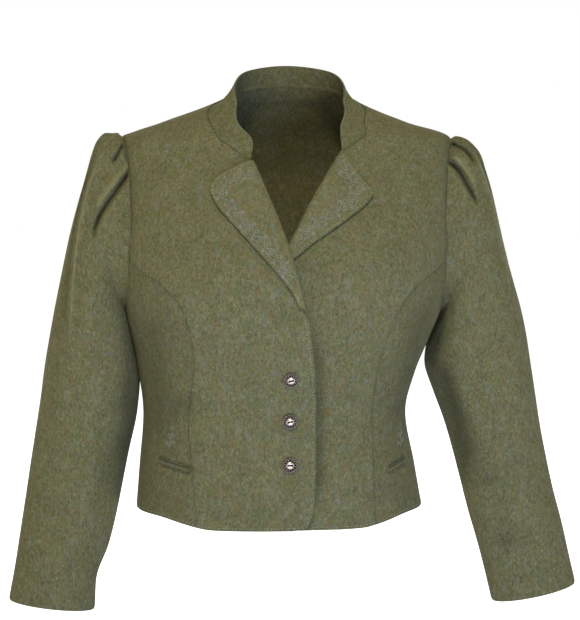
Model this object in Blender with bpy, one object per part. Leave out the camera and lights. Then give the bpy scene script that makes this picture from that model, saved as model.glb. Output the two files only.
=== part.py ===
"""Short fitted loden jacket in the Tyrolean style, worn shape, empty inside.

Metres, +Z up. The wearer faces -Y, so the wearer's right side is at -X. The origin lies between the
shoulders at the height where the shoulder slope meets the neck. Every cloth piece is a closed wall:
its outer face is a grid of points on the garment's form, and its inner face the same grid moved in.
"""
import math
from collections import namedtuple

import bmesh
import bpy
import numpy as np
from mathutils import Matrix, Vector

MM = 0.001

# ------------------------------------------------------------------ driving dimensions (millimetres)
CLOTH = 2.0              # thickness of the fulled wool
SEAM_GAP = 0.3           # air between two pieces at a seam
LAYER_GAP = 0.4          # air between two layers that lie on each other
HEM_Z = -512.0           # bottom edge of the body below the neck point
HEM_RISE = 12.0          # the hem is this much shorter over the hips
BACK_HEM_RISE = 4.0      # and this much at the centre back
ARMPIT_Z = -262.0
SHOULDER_TIP_Z = -43.0
NECK_POINT_Z = 8.0       # side of the neck, where the shoulder seam ends
RIGHT_CORNER = 24.0      # radius of the rounded lower corner of the right front
LEFT_CORNER = 4.0        # and of the left front under it
BUTTON_DIAMETER = 19.0
BUTTON_Z = (-325.5, -378.0, -431.5)
BUTTON_LINE_X = -1.0

# Body form: one row for each level, top row last. Depths are from y_mid to the front and to the back,
# powers are those of the superellipse, 2 for an ellipse.
Section = namedtuple("Section", "z half_width front back front_power back_power x_mid y_mid")
SECTIONS = (
    (-512, 181, 124, 108, 2.30, 2.40, -4, 0),    # hem
    (-450, 173, 121, 100, 2.25, 2.40, -7, 0),    # hip
    (-383, 165, 118, 89, 2.20, 2.30, -10, 0),    # waist
    (-335, 173, 130, 95, 2.20, 2.35, -7, 0),     # ribs
    (-295, 184, 141, 103, 2.30, 2.45, -3, 0),    # under the bust
    (-250, 198, 148, 108, 2.40, 2.55, 0, 0),     # just above the armpit
    (-205, 205, 147, 111, 2.45, 2.60, 2, 1),     # bust
    (-150, 207, 131, 113, 2.40, 2.60, 4, 3),     # chest
    (-100, 208, 108, 110, 2.30, 2.50, 5, 6),     # upper chest
    (-62, 208, 86, 98, 2.20, 2.40, 6, 9),        # below the shoulder tip
    (-45, 206, 76, 91, 2.15, 2.30, 7, 10),       # shoulder tip
    (-22, 152, 60, 80, 2.05, 2.20, 3, 10),       # middle of the shoulder
    (-3, 102, 48, 70, 2.00, 2.10, 6, 11),        # near the neck
    (8, 80, 43, 63, 2.00, 2.00, 8, 12),          # neck point
    (22, 70, 44, 59, 2.00, 2.00, 9, 12),         # stand collar
    (37, 64.5, 46, 57, 2.00, 2.00, 10, 12),
    (56, 62, 48, 56, 2.00, 2.00, 10, 12),
)
BUST_HEIGHT = 9.0        # soft fullness over each side of the chest
BUST_X, BUST_Z = 88.0, -208.0
BUST_SPREAD_X, BUST_SPREAD_Z = 62.0, 70.0
BUST_TURN = 1.6          # how quickly the fullness ends towards the side

# Front-view lines (x, z). A roll line is where the lapel folds back, from the collar down to the break.
ROLL_RIGHT = ((-41, -66), (-23, -111), (-6, -157), (8, -206), (15, -240))
ROLL_LEFT = ((65, -54), (33, -100), (-3, -159), (-26, -205))
ROLL_LEFT_SHOWN = ((65, -54), (33, -100), (-3, -159), (-13, -177))
# Buttoned edge below the break; the first height is replaced by the hem's corner.
EDGE_RIGHT = ((27.5, -488), (30.5, -430), (30.5, -370), (28.0, -325), (22.0, -275), (17.5, -246))
EDGE_LEFT = ((-28.5, -508), (-28.5, -400), (-28.5, -209))
# Lapel outlines: the top edge from the collar to the point, then the outer edge down to the break.
LAPEL_TOP_RIGHT = ((-41, -66), (-54, -70), (-67, -75), (-84, -84.5), (-92, -91))
LAPEL_SIDE_RIGHT = ((-92, -91), (-95, -99), (-88, -117), (-68, -141), (-46, -166), (-28, -186),
                    (-9, -208), (2, -224), (7.5, -236))
LAPEL_TOP_LEFT = ((65, -54), (74, -69), (88, -88), (96, -97))
LAPEL_SIDE_LEFT = ((96, -97), (101, -105), (93, -116), (68, -134), (42, -151), (12, -170), (-2, -181))


def smooth(t):
    """Soft step from 0 to 1."""
    t = np.clip(t, 0.0, 1.0)
    return t * t * (3.0 - 2.0 * t)


def spline(knots, values, at):
    """Monotone cubic through the columns of values at the given knots."""
    knots, values = np.asarray(knots, float), np.asarray(values, float)
    if values.ndim == 1:
        return spline(knots, values[:, None], at)[..., 0]
    width = np.diff(knots)[:, None]
    slope = np.diff(values, axis=0) / width
    tangent = np.zeros_like(values)
    tangent[0], tangent[-1] = slope[0], slope[-1]
    same_way = slope[1:] * slope[:-1] > 0
    before, after = np.where(same_way, slope[:-1], 1), np.where(same_way, slope[1:], 1)
    near, far = 2 * width[1:] + width[:-1], width[1:] + 2 * width[:-1]
    mean = 3 * (width[1:] + width[:-1]) / (near / before + far / after)
    tangent[1:-1] = np.where(same_way, mean, 0.0)
    at = np.clip(np.asarray(at, float), knots[0], knots[-1])
    i = np.clip(np.searchsorted(knots, at, side="right") - 1, 0, len(knots) - 2)
    h = (knots[i + 1] - knots[i])[..., None]
    t = (at - knots[i])[..., None] / h
    return ((1 + 2 * t) * (1 - t) ** 2 * values[i] + t * (1 - t) ** 2 * h * tangent[i]
            + t * t * (3 - 2 * t) * values[i + 1] + t * t * (t - 1) * h * tangent[i + 1])


# ------------------------------------------------------------------ body form
TABLE = np.array(SECTIONS, float)
# Girth line: distance run along the side of the form, so that levels crowd where the shoulder is flat.
GIRTH = np.concatenate([[0.0], np.cumsum(np.hypot(np.diff(TABLE[:, 0]), np.diff(TABLE[:, 1])))])


def girth_of(z):
    """Girth-line value of a height."""
    fine = np.linspace(0.0, GIRTH[-1], 600)
    return np.interp(z, spline(GIRTH, TABLE[:, 0], fine), fine)


def body(angle, girth, lift=0.0):
    """Points on the form: angle 0 at the centre front, positive to the wearer's left, in radians."""
    angle, girth = np.broadcast_arrays(np.asarray(angle, float), np.asarray(girth, float))
    z, half, front, back, n_front, n_back, x_mid, y_mid = np.moveaxis(spline(GIRTH, TABLE, girth), -1, 0)
    facing = np.cos(angle) > 0
    depth, power = np.where(facing, front, back), np.where(facing, n_front, n_back)
    across, along = np.abs(np.sin(angle)) / half, np.abs(np.cos(angle)) / depth
    radius = (across ** power + along ** power) ** (-1 / power)
    x, y = radius * np.sin(angle), -radius * np.cos(angle)
    off_x, off_z = (np.abs(x) - BUST_X) / BUST_SPREAD_X, (z - BUST_Z) / BUST_SPREAD_Z
    bust = BUST_HEIGHT * np.exp(-off_x ** 2 - off_z ** 2)
    y = y - np.where(facing, bust * smooth(np.cos(angle) * BUST_TURN), 0.0)
    points = np.stack([x + x_mid, y + y_mid, z], -1)
    if np.any(lift):
        points = points + np.asarray(lift, float)[..., None] * body_normal(angle, girth)
    return points


def body_normal(angle, girth):
    """Outward normals of the form."""
    step_a, step_g = 0.01, 1.5
    around = body(angle + step_a, girth) - body(angle - step_a, girth)
    above, below = np.minimum(girth + step_g, GIRTH[-1]), np.maximum(girth - step_g, 0.0)
    up = body(angle, above) - body(angle, below)
    normal = np.cross(around, up)
    return normal / np.linalg.norm(normal, axis=-1, keepdims=True)


def angle_of(x, z):
    """Angle on the front half at which the form reaches x at height z."""
    girth = girth_of(z)
    fine = np.radians(np.linspace(-90, 90, 361))
    return float(np.interp(x, body(fine, np.full(fine.shape, girth))[:, 0], fine))


def front_curve(rows, count):
    """Evenly spaced (angle, girth) points along a front-view line given by its (x, z) rows."""
    rows = np.array(rows, float)
    run = np.concatenate([[0.0], np.cumsum(np.hypot(*np.diff(rows, axis=0).T))])
    line = spline(run, rows, np.linspace(0, run[-1], count))
    return np.array([(angle_of(x, z), girth_of(z)) for x, z in line])


# ------------------------------------------------------------------ solids
def colour(red, green, blue):
    """sRGB bytes as linear values."""
    return tuple(((c / 255 + 0.055) / 1.055) ** 2.4 for c in (red, green, blue))


def material(name, rgb, roughness, metallic):
    made = bpy.data.materials.new(name)
    made.use_nodes = True
    shader = made.node_tree.nodes["Principled BSDF"]
    shader.inputs["Base Color"].default_value = (*colour(*rgb), 1.0)
    shader.inputs["Roughness"].default_value = roughness
    shader.inputs["Metallic"].default_value = metallic
    return made


def put(name, mesh_maker, finish):
    """Make one named object from a filled bmesh."""
    mesh = bpy.data.meshes.new(name)
    mesh_maker.to_mesh(mesh)
    mesh_maker.free()
    mesh.materials.append(finish)
    mesh.shade_smooth()
    mesh.set_sharp_from_angle(angle=math.radians(40))
    made = bpy.data.objects.new(name, mesh)
    bpy.context.collection.objects.link(made)
    return made


def wall(name, outer, inner, finish, ring=False):
    """Closed wall between two equal grids of points; a ring's columns close on themselves."""
    rows, columns = outer.shape[:2]
    made = bmesh.new()
    skins = [[[made.verts.new(point * MM) for point in row] for row in grid] for grid in (outer, inner)]
    spans = columns if ring else columns - 1

    def cut(a, b, c, d, first_way):
        """Four corners as two triangles, so that both skins fold along the same diagonal."""
        triangles = ((a, b, c), (a, c, d)) if first_way else ((a, b, d), (b, c, d))
        for corners in triangles:
            made.faces.new(corners)

    for i in range(rows - 1):
        for j in range(spans):
            k = (j + 1) % columns
            first_way = (np.linalg.norm(outer[i, j] - outer[i + 1, k])
                         < np.linalg.norm(outer[i, k] - outer[i + 1, j]))
            for skin in skins:
                cut(skin[i][j], skin[i][k], skin[i + 1][k], skin[i + 1][j], first_way)
    rims = [[(0, j) for j in range(columns)], [(rows - 1, j) for j in range(columns)]]
    if ring:
        rims = [rim + rim[:1] for rim in rims]
    else:
        rims += [[(i, 0) for i in range(rows)], [(i, columns - 1) for i in range(rows)]]
    for rim in rims:
        for (a, b), (c, d) in zip(rim, rim[1:]):
            first_way = (np.linalg.norm(outer[a, b] - inner[c, d])
                         < np.linalg.norm(outer[c, d] - inner[a, b]))
            cut(skins[0][a][b], skins[0][c][d], skins[1][c][d], skins[1][a][b], first_way)
    bmesh.ops.recalc_face_normals(made, faces=made.faces)
    return put(name, made, finish)


def coons(left, right, bottom, top, shares=None):
    """Grid of (angle, girth) filled in between four edges that share their corners."""
    v = np.linspace(0, 1, len(left))[:, None, None]
    u = (np.linspace(0, 1, len(bottom)) if shares is None else np.asarray(shares))[None, :, None]
    low, high = (1 - u) * bottom[0] + u * bottom[-1], (1 - u) * top[0] + u * top[-1]
    sides = (1 - u) * left[:, None] + u * right[:, None]
    ends = (1 - v) * bottom[None] + v * top[None]
    return sides + ends - ((1 - v) * low + v * high)


def inset(grid, lift, distance, ring=False):
    """Steps that draw a panel's rim in along the form by a distance, zero inside the rim."""
    points = body(grid[..., 0], grid[..., 1], lift)
    normal = body_normal(grid[..., 0], grid[..., 1])
    steps = np.zeros_like(points)
    for edge, inner, axis in ((0, 1, 1), (-1, -2, 1), (0, 1, 0), (-1, -2, 0)):
        if ring and axis == 0:
            continue
        side = (edge, slice(None)) if axis == 1 else (slice(None), edge)
        near = (inner, slice(None)) if axis == 1 else (slice(None), inner)
        tangent = np.gradient(points[side], axis=0)
        across = np.cross(normal[side], tangent)
        across /= np.linalg.norm(across, axis=-1, keepdims=True)
        inward = np.sign(np.sum(across * (points[near] - points[side]), axis=-1, keepdims=True))
        steps[side] += across * inward * distance
    return steps


def panel(name, grid, finish, lift=0.0, thickness=CLOTH):
    """Cloth wall over a grid of (angle, girth), its outer face lifted off the form by lift."""
    raised = np.broadcast_to(lift, grid.shape[:2]).astype(float)
    steps = inset(grid, raised, SEAM_GAP / 2)
    angle, girth = grid[..., 0], grid[..., 1]
    outer, inner = body(angle, girth, raised), body(angle, girth, raised - thickness)
    return wall(name, outer + steps, inner + steps, finish)


# ------------------------------------------------------------------ seams, as (angle, girth) points
def seam(rows, count):
    """Evenly spaced points along a seam given by (angle in degrees, z) rows."""
    rows = np.array([(math.radians(angle), girth_of(z)) for angle, z in rows])
    fine = spline(np.arange(len(rows)), rows, np.linspace(0, len(rows) - 1, 40 * len(rows)))
    place = body(fine[:, 0], fine[:, 1])
    run = np.concatenate([[0.0], np.cumsum(np.linalg.norm(np.diff(place, axis=0), axis=1))])
    even = np.linspace(0, run[-1], count)
    return np.stack([np.interp(even, run, fine[:, 0]), np.interp(even, run, fine[:, 1])], -1)


def mirrored(line):
    """The same seam on the other side of the body."""
    return line * np.array([-1.0, 1.0])


def joined(*lines):
    """Lines end to end, the shared points kept once."""
    return np.concatenate([lines[0]] + [line[1:] for line in lines[1:]])


def hem_z(angle):
    """Height of the hem: lowest at the front, raised over the hips, a little lower at the back."""
    turn = abs((math.degrees(angle) + 180) % 360 - 180)
    side = BACK_HEM_RISE + (HEM_RISE - BACK_HEM_RISE) * smooth((180 - turn) / 90)
    return HEM_Z + (HEM_RISE * smooth((turn - 38) / 30) if turn < 90 else side)


def hem(start, end, count):
    """Points along the hem between two angles."""
    return np.array([(angle, girth_of(hem_z(angle))) for angle in np.linspace(start, end, count)])


def straight(start, end, count):
    return start + (end - start) * np.linspace(0, 1, count)[:, None]


# Lines along a sleeve: head is the angle round the armhole from the shoulder seam (front positive),
# low the angle it reaches where its pleat fades, rise how high the pleated cloth stands there, and end
# the section it fades at.
PleatLine = namedtuple("PleatLine", "head low rise end")
PLEAT_LINES = (
    (3, 16, 0.0, 11), (8, 22, 3.6, 11), (17, 28, 3.0, 10), (28, 34, 3.2, 9), (38, 40, 4.4, 8),
    (44, 48, 0.0, 8), (57, 60, 0.0, 8), (73, 75, 0.0, 8), (90, 90, 0.0, 8), (108, 108, 0.0, 8),
    (126, 126, 0.0, 8),
    (145, 145, 0.0, 8), (163, 163, 0.0, 8),
)
FRONT_SCYE_ANGLE, BACK_SCYE_ANGLE = 17.0, 15.0   # how far the armhole reaches round the body, degrees
SCYE_SKEW = 0.25                                 # the armhole is deeper cut low down
PRINCESS_LINE = 9                                # place in PLEAT_LINES where the princess seam ends


def armhole(turn):
    """(angle, girth) on the wearer's left armhole, turn in degrees from the shoulder tip to the front."""
    turn = math.radians(turn)
    z = (SHOULDER_TIP_Z + ARMPIT_Z) / 2 + (SHOULDER_TIP_Z - ARMPIT_Z) / 2 * math.cos(turn)
    reach = FRONT_SCYE_ANGLE if math.sin(turn) > 0 else BACK_SCYE_ANGLE
    bulge = reach * math.sin(turn) * (1 - SCYE_SKEW * math.cos(turn))
    return math.radians(90 - bulge), girth_of(z)


HEAD_TURNS = [line[0] for line in PLEAT_LINES]
RING_TURNS = [0.0] + HEAD_TURNS + [180.0] + [-turn for turn in reversed(HEAD_TURNS)]
ARMHOLE = np.array([armhole(turn) for turn in RING_TURNS])
SCYE_BOTTOM = len(HEAD_TURNS) + 1
ARMHOLE_TOP_FRONT = ARMHOLE[:PRINCESS_LINE + 2][::-1]              # princess seam up to the shoulder tip
ARMHOLE_BACK = np.concatenate([ARMHOLE[SCYE_BOTTOM:], ARMHOLE[:1]])  # armpit up to the shoulder tip

PRINCESS_ROWS = 15
# Princess seam of the left front, from the hem to the armhole.
PRINCESS_X = ((106, -512), (104, -450), (103, -383), (105, -335), (117, -278), (139, -231), (165, -208))
PRINCESS = joined(front_curve(PRINCESS_X, PRINCESS_ROWS),
                  straight(front_curve(PRINCESS_X[-2:], 2)[1], ARMHOLE[PRINCESS_LINE + 1], 3))
PRINCESS[0, 1] = girth_of(hem_z(PRINCESS[0, 0]))
SIDE_SEAM = seam(((90, HEM_Z + HEM_RISE), (90, -383), (90, ARMPIT_Z)), len(PRINCESS))
# Neck seam from the front end of the collar to the shoulder seam, (angle, z) rows.
NECK_SEAM_RIGHT = ((-30.6, -65), (-37, -59), (-51, -43), (-66, -18), (-90, 8))
NECK_SEAM_LEFT = ((37.6, -54), (42, -51), (54, -38), (68, -15), (90, 8))
BACK_NECK_SEAM = ((90, 8), (120, 15), (150, 19), (180, 20), (210, 19), (240, 15), (270, 8))
# Upper edge of the stand collar, wearer's right front end first.
COLLAR_TOP = ((-32, -50), (-35, -39), (-48, -21), (-66, 4), (-88, 26), (-125, 41), (-180, 47),
              (-235, 41), (-270, 27), (-291, 6), (-303, -12), (-312, -25), (-320, -41))
NECK_POINTS, BACK_NECK_POINTS = 7, 21
ROLL_ROWS, EDGE_ROWS, CORNER_ROWS = 6, 10, 3
FULL_TURN = np.array([2 * math.pi, 0.0])


# ------------------------------------------------------------------ layers at the centre front
UNDER_DEPTH = CLOTH + 4.5 * LAYER_GAP    # how far the left front lies under the right one
LAPEL_DEPTH = 8.4                        # the same where the left lapel is folded between them
LAPEL_END_Z, LAPEL_FULL_Z = -280.0, -210.0   # the depth grows from the first height to the second
UNDER_REACH = 40.0                       # it begins to dip this far outside the right front's edge
UNDER_RUN = 36.0                         # and is fully down after this distance
PANEL_SETBACK = 2.6                      # a front stops this short of the roll line, inside the fold


def cover_x(z):
    """Where the right front's inner edge runs: its roll line, then the buttoned edge."""
    rows = np.array(EDGE_RIGHT + ROLL_RIGHT[::-1], float)
    return np.interp(z, rows[:, 1], rows[:, 0])


def under(grid):
    """Lift of the wearer's left front: it dips where the right front lies over it."""
    points = body(grid[..., 0], grid[..., 1])
    x, z = points[..., 0], points[..., 2]
    folded = smooth((z - LAPEL_END_Z) / (LAPEL_FULL_Z - LAPEL_END_Z))
    depth = UNDER_DEPTH + (LAPEL_DEPTH - UNDER_DEPTH) * folded
    return -depth * smooth((cover_x(z) + UNDER_REACH - x) / UNDER_RUN)


def front_edge(way, edge, roll, corner, neck):
    """Inner edge of a front from the hem up: corner, buttoned edge, roll line, neck seam.

    way is 1 where the front lies towards -X of its edge, -1 where it lies towards +X.
    """
    reach = edge[0][0]
    turns = np.linspace(0, math.pi / 2, CORNER_ROWS + 1)
    low = [(reach - way * corner * (1 - math.sin(turn)), HEM_Z + corner * (1 - math.cos(turn)))
           for turn in turns]
    low_line = np.array([(angle_of(x, z), girth_of(z)) for x, z in low])
    edge_line = front_curve((low[-1],) + edge[1:], EDGE_ROWS + 1)
    set_back = [(x - way * PANEL_SETBACK, z) for x, z in roll[::-1]]
    roll_line = front_curve(set_back, ROLL_ROWS + 1)[:-1]
    return np.concatenate([low_line[:-1], edge_line, roll_line, neck])


# ------------------------------------------------------------------ pieces of the body
# Columns of a front, as shares of its width: close together where the two fronts overlap.
FRONT_SHARES = np.linspace(0, 1, 13) ** 1.35
BACK_SHOULDER_ROWS = 5


def fronts(finish):
    outer_left = joined(PRINCESS, ARMHOLE_TOP_FRONT)
    for name, way, edge, roll, corner, neck_rows in (
            ("front_right", 1, EDGE_RIGHT, ROLL_RIGHT, RIGHT_CORNER, NECK_SEAM_RIGHT),
            ("front_left", -1, EDGE_LEFT, ROLL_LEFT, LEFT_CORNER, NECK_SEAM_LEFT)):
        outer = mirrored(outer_left) if way > 0 else outer_left
        inner = front_edge(way, edge, roll, corner, seam(neck_rows, NECK_POINTS))
        high = inner[-1] + (outer[-1] - inner[-1]) * FRONT_SHARES[:, None]
        low = inner[0] + (outer[0] - inner[0]) * FRONT_SHARES[:, None]
        low[:, 1] = [girth_of(hem_z(angle)) for angle in low[:, 0]]
        grid = coons(inner, outer, low, high, FRONT_SHARES)
        panel(name, grid, finish, lift=under(grid) if way < 0 else 0.0)


def side_fronts(finish):
    turns = HEAD_TURNS[PRINCESS_LINE:] + [180.0]
    between = [(a + b) / 2 for a, b in zip(turns, turns[1:])]
    high = np.array([armhole(turn) for turn in sorted(turns + between)])
    grid = coons(PRINCESS, SIDE_SEAM, hem(PRINCESS[0, 0], SIDE_SEAM[0, 0], len(high)), high)
    panel("side_front_left", grid, finish)
    panel("side_front_right", grid * np.array([-1.0, 1.0]), finish)


def back(finish):
    neck_point = np.array([math.pi / 2, girth_of(NECK_POINT_Z)])
    to_neck = straight(ARMHOLE[0], neck_point, BACK_SHOULDER_ROWS + 1)
    left = joined(SIDE_SEAM, ARMHOLE_BACK, to_neck)
    right = mirrored(left) + FULL_TURN
    neck = seam(BACK_NECK_SEAM, BACK_NECK_POINTS)
    low = hem(left[0, 0], right[0, 0], BACK_NECK_POINTS)
    panel("back", coons(left, right, low, neck), finish)


def collar(finish):
    """Stand collar: its lower edge is the neck seam, front end to front end round the back."""
    right, left = seam(NECK_SEAM_RIGHT, NECK_POINTS), seam(NECK_SEAM_LEFT, NECK_POINTS)
    round_back = seam(BACK_NECK_SEAM, BACK_NECK_POINTS)[::-1] - FULL_TURN
    low = joined(right, round_back, left[::-1] - FULL_TURN)
    high = seam(COLLAR_TOP, len(low))
    rows = 4
    grid = coons(straight(low[0], high[0], rows), straight(low[-1], high[-1], rows), low, high)
    panel("collar", grid, finish)


# ------------------------------------------------------------------ lapels
# Share of the lapel's width, and height of its outer face over the form at the widest place.
LAPEL_PROFILE = ((0.0, 0.2), (0.05, 3.4), (0.12, 4.9), (0.28, 4.6), (0.50, 3.5), (0.75, 3.0), (1.0, 2.8))
LAPEL_CLOTH = 1.9
LAPEL_FULL_WIDTH = 26.0      # a narrower stretch lies flat instead of springing over the roll line
LAPEL_ROWS = 17


def lapels(finish):
    shares = np.array([row[0] for row in LAPEL_PROFILE])
    heights = np.array([row[1] for row in LAPEL_PROFILE])
    for name, roll, top, side in (("lapel_right", ROLL_RIGHT, LAPEL_TOP_RIGHT, LAPEL_SIDE_RIGHT),
                                  ("lapel_left", ROLL_LEFT_SHOWN, LAPEL_TOP_LEFT, LAPEL_SIDE_LEFT)):
        inner, outer = front_curve(roll, LAPEL_ROWS), front_curve(side, LAPEL_ROWS)
        fine = front_curve(top, 101)
        high = fine[np.round(shares * 100).astype(int)]
        low = inner[-1] + (outer[-1] - inner[-1]) * shares[:, None]
        grid = coons(inner, outer, high, low, shares)
        width = np.linalg.norm(body(*outer.T) - body(*inner.T), axis=1)
        narrow = (1 - smooth(width / LAPEL_FULL_WIDTH))[:, None]
        lift = heights + (heights[-1] - heights) * narrow
        if name == "lapel_left":
            lift = lift + under(grid)
        panel(name, grid, finish, lift=lift, thickness=LAPEL_CLOTH)


# ------------------------------------------------------------------ sleeves
# One row for each section from the shoulder to the cuff: the outer and the inner point in front view
# (distance from the centre plane, z), the middle in y, and half the depth front to back.
SleeveSection = namedtuple("SleeveSection", "x_out z_out x_in z_in y_mid half_depth")
SLEEVE_RIGHT = (
    (197, -43, 196, -262, 4, 50), (205, -38, 197, -262.5, 4, 51), (216, -36, 198, -263, 4, 53),
    (227, -45, 198.5, -264, 3, 55), (234, -60, 198.5, -266, 3, 57), (240, -77, 198, -268.5, 3, 58),
    (248, -102, 197, -272, 2, 59), (257, -133, 195.5, -276, 2, 60), (266, -168, 193, -282, 2, 60),
    (275, -210, 190, -290, 2, 60), (283, -248, 187, -301, 2, 59), (290, -285, 182.5, -318, 3, 58),
    (297, -325, 178.5, -347, 4, 57), (302, -362, 182, -385, 5, 55), (309, -405, 191.5, -427, 5, 53),
    (316, -448, 200, -468, 3, 50), (323, -492, 209, -510, -2, 47), (330, -535, 220, -551, -8, 43),
    (336.5, -574, 235, -588, -15, 39), (344, -612, 237, -626, -22, 36),
)
SLEEVE_LEFT = (
    (211, -43, 196, -262, 4, 50), (218, -42, 197, -262.5, 4, 51), (227, -44, 197.5, -263, 4, 53),
    (237, -51, 197.5, -264.5, 3, 55), (246, -62, 197, -266.5, 3, 57), (252, -78, 196, -269, 3, 58),
    (260, -102, 194.5, -273, 2, 59), (268, -132, 192, -278, 2, 60), (277, -168, 189, -284.5, 2, 60),
    (288, -208, 185.5, -293, 2, 60), (299, -247, 182, -305, 2, 59), (307.5, -282, 180, -325, 3, 58),
    (314, -320, 190, -357, 4, 57), (321, -362, 205.5, -398, 5, 55), (328, -405, 217, -437, 5, 53),
    (336, -446, 227, -476, 3, 50), (344.5, -487, 236.5, -515, -2, 47), (355, -528, 247, -552, -8, 43),
    (363, -567, 256, -589, -15, 39), (371, -604, 264, -626, -22, 36),
)
HEAD_BLEND = 6           # sections over which the round sleeve takes the armhole's own shape
HEAD_SETTLE = 5          # sections over which the wall turns from the seam's plane to its own
SEAM_RISE = 0.8          # the sleeve's cloth turns outwards this far above the body at the seam


def sleeve(name, side, sections, finish):
    """Tube from the armhole to the cuff; side is 1 for the wearer's left. Pleats stand on its head."""
    table = np.array(sections, float)
    pleats = [PleatLine(*line) for line in PLEAT_LINES]
    behind = [line._replace(head=-line.head, low=-line.low) for line in reversed(pleats)]
    top, bottom = PleatLine(0, 0, 0, 8), PleatLine(180, 180, 0, 8)
    head, low, rise, end = np.array([top, *pleats, bottom, *behind], float).T
    row = np.arange(len(table))[:, None]
    fade = 1 - smooth(row / end)
    turn = np.radians(low + (head - low) * fade)

    def ring(values, at):
        s = SleeveSection(*values)
        wide, tall = (s.x_out - s.x_in) / 2 * np.cos(at), (s.z_out - s.z_in) / 2 * np.cos(at)
        return np.stack([side * ((s.x_out + s.x_in) / 2 + wide), s.y_mid - s.half_depth * np.sin(at),
                         (s.z_out + s.z_in) / 2 + tall], -1)

    scye = ARMHOLE * np.array([side, 1.0])
    seam_line, normal = body(*scye.T), body_normal(*scye.T)
    tangent = np.roll(seam_line, -1, axis=0) - np.roll(seam_line, 1, axis=0)
    inward = np.cross(normal, tangent)
    inward /= np.linalg.norm(inward, axis=1, keepdims=True)
    inward *= np.sign(np.sum(inward * (seam_line.mean(axis=0) - seam_line), axis=1, keepdims=True))
    start = seam_line + inward * SEAM_GAP / 2
    fit = start - ring(table[0], np.radians(head))
    rings = [ring(table[i], turn[i]) + fit * (1 - smooth(i / HEAD_BLEND)) for i in range(1, len(table))]
    tube = np.array([start - normal * CLOTH, start + normal * SEAM_RISE] + rings)
    out = np.cross(np.roll(tube, -1, axis=1) - np.roll(tube, 1, axis=1), np.gradient(tube, axis=0))
    out /= np.linalg.norm(out, axis=-1, keepdims=True)
    middle = tube.mean(axis=1, keepdims=True)
    out *= np.sign(np.sum(out * (tube - middle), axis=-1).mean())
    settle = smooth((np.arange(len(tube)) - 1) / HEAD_SETTLE)[:, None, None]
    out = out * settle - inward * (1 - settle)
    out /= np.linalg.norm(out, axis=-1, keepdims=True)
    height = np.concatenate([np.zeros((2, len(head))), (rise * fade)[1:]])
    wall(name, tube + out * height[..., None], tube - out * CLOTH, finish, ring=True)


# ------------------------------------------------------------------ pocket welts and buttons
# Top edges of the welts in front view, on the side fronts, x measured out from the middle.
WELT_TOP_LEFT = ((121.5, -442), (146, -433.5))
WELT_TOP_RIGHT = ((105.5, -436.5), (141, -428.5))
WELT_DEPTH = 7.0
WELT_CLOTH = 1.6
WELT_LIFT = WELT_CLOTH + 2.5 * LAYER_GAP
WELT_POINTS = 7


def welts(finish):
    for name, side, top in (("welt_left", 1.0, WELT_TOP_LEFT), ("welt_right", -1.0, WELT_TOP_RIGHT)):
        rows = [front_curve([(x, z - drop) for x, z in top], WELT_POINTS) for drop in (0, WELT_DEPTH)]
        grid = np.array(rows) * np.array([side, 1.0])
        panel(name, grid, finish, lift=WELT_LIFT, thickness=WELT_CLOTH)


# Turned outline of a button: (radius, height) from the middle of its back to the middle of its face.
BUTTON_PROFILE = ((0, 0), (8.0, 0), (9.2, 0.8), (9.3, 1.7), (8.0, 2.4), (6.4, 2.0), (5.4, 1.3),
                  (3.9, 1.4), (3.3, 2.5), (2.1, 3.4), (0, 3.8))
BUTTON_SEGMENTS, SCALLOP_DEPTH, SCALLOP_FROM = 24, 0.35, 7.0
BUTTON_CLEARANCE = 0.8


def buttons(finish):
    for number, z in enumerate(BUTTON_Z, 1):
        made = bmesh.new()
        ring = [made.verts.new((radius * MM, 0, height * MM)) for radius, height in BUTTON_PROFILE]
        edges = [made.edges.new(pair) for pair in zip(ring, ring[1:])]
        bmesh.ops.spin(made, geom=ring + edges, angle=2 * math.pi, steps=BUTTON_SEGMENTS, axis=(0, 0, 1),
                       cent=(0, 0, 0), use_merge=True)
        bmesh.ops.remove_doubles(made, verts=made.verts, dist=1e-6)
        for vert in made.verts:
            radius = math.hypot(vert.co.x, vert.co.y)
            if radius > SCALLOP_FROM * MM:
                wave = math.cos(BUTTON_SEGMENTS / 2 * math.atan2(vert.co.y, vert.co.x))
                vert.co.xy *= 1 + SCALLOP_DEPTH * MM * wave / radius
        bmesh.ops.recalc_face_normals(made, faces=made.faces)
        at = (angle_of(BUTTON_LINE_X, z), girth_of(z))
        middle, normal = body(*at), body_normal(*at)
        proud = [0.0]
        for turn in np.linspace(0, 2 * math.pi, 9):
            x = BUTTON_LINE_X + BUTTON_DIAMETER / 2 * math.sin(turn)
            height = z + BUTTON_DIAMETER / 2 * math.cos(turn)
            proud.append(float((body(angle_of(x, height), girth_of(height)) - middle) @ normal))
        seat = Vector(middle + normal * (max(proud) + BUTTON_CLEARANCE)) * MM
        normal = Vector(normal)
        turn = normal.to_track_quat("Z", "Y").to_matrix().to_4x4()
        bmesh.ops.transform(made, matrix=Matrix.Translation(seat) @ turn, verts=made.verts)
        put(f"button_{number}", made, finish)


def main():
    for thing in list(bpy.data.objects):
        bpy.data.objects.remove(thing)
    wool = material("loden", (104, 101, 76), 0.92, 0.0)
    fronts(wool)
    side_fronts(wool)
    back(wool)
    collar(material("collar_loden", (104, 100, 72), 0.92, 0.0))
    lapels(material("lapel_loden", (116, 111, 85), 0.92, 0.0))
    sleeve("sleeve_right", -1, SLEEVE_RIGHT, material("sleeve_right_loden", (106, 105, 78), 0.92, 0.0))
    sleeve("sleeve_left", 1, SLEEVE_LEFT, material("sleeve_left_loden", (101, 100, 80), 0.92, 0.0))
    welts(material("welt_loden", (96, 94, 68), 0.92, 0.0))
    buttons(material("old_silver", (150, 140, 128), 0.38, 1.0))


if __name__ == "__main__":
    main()
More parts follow.
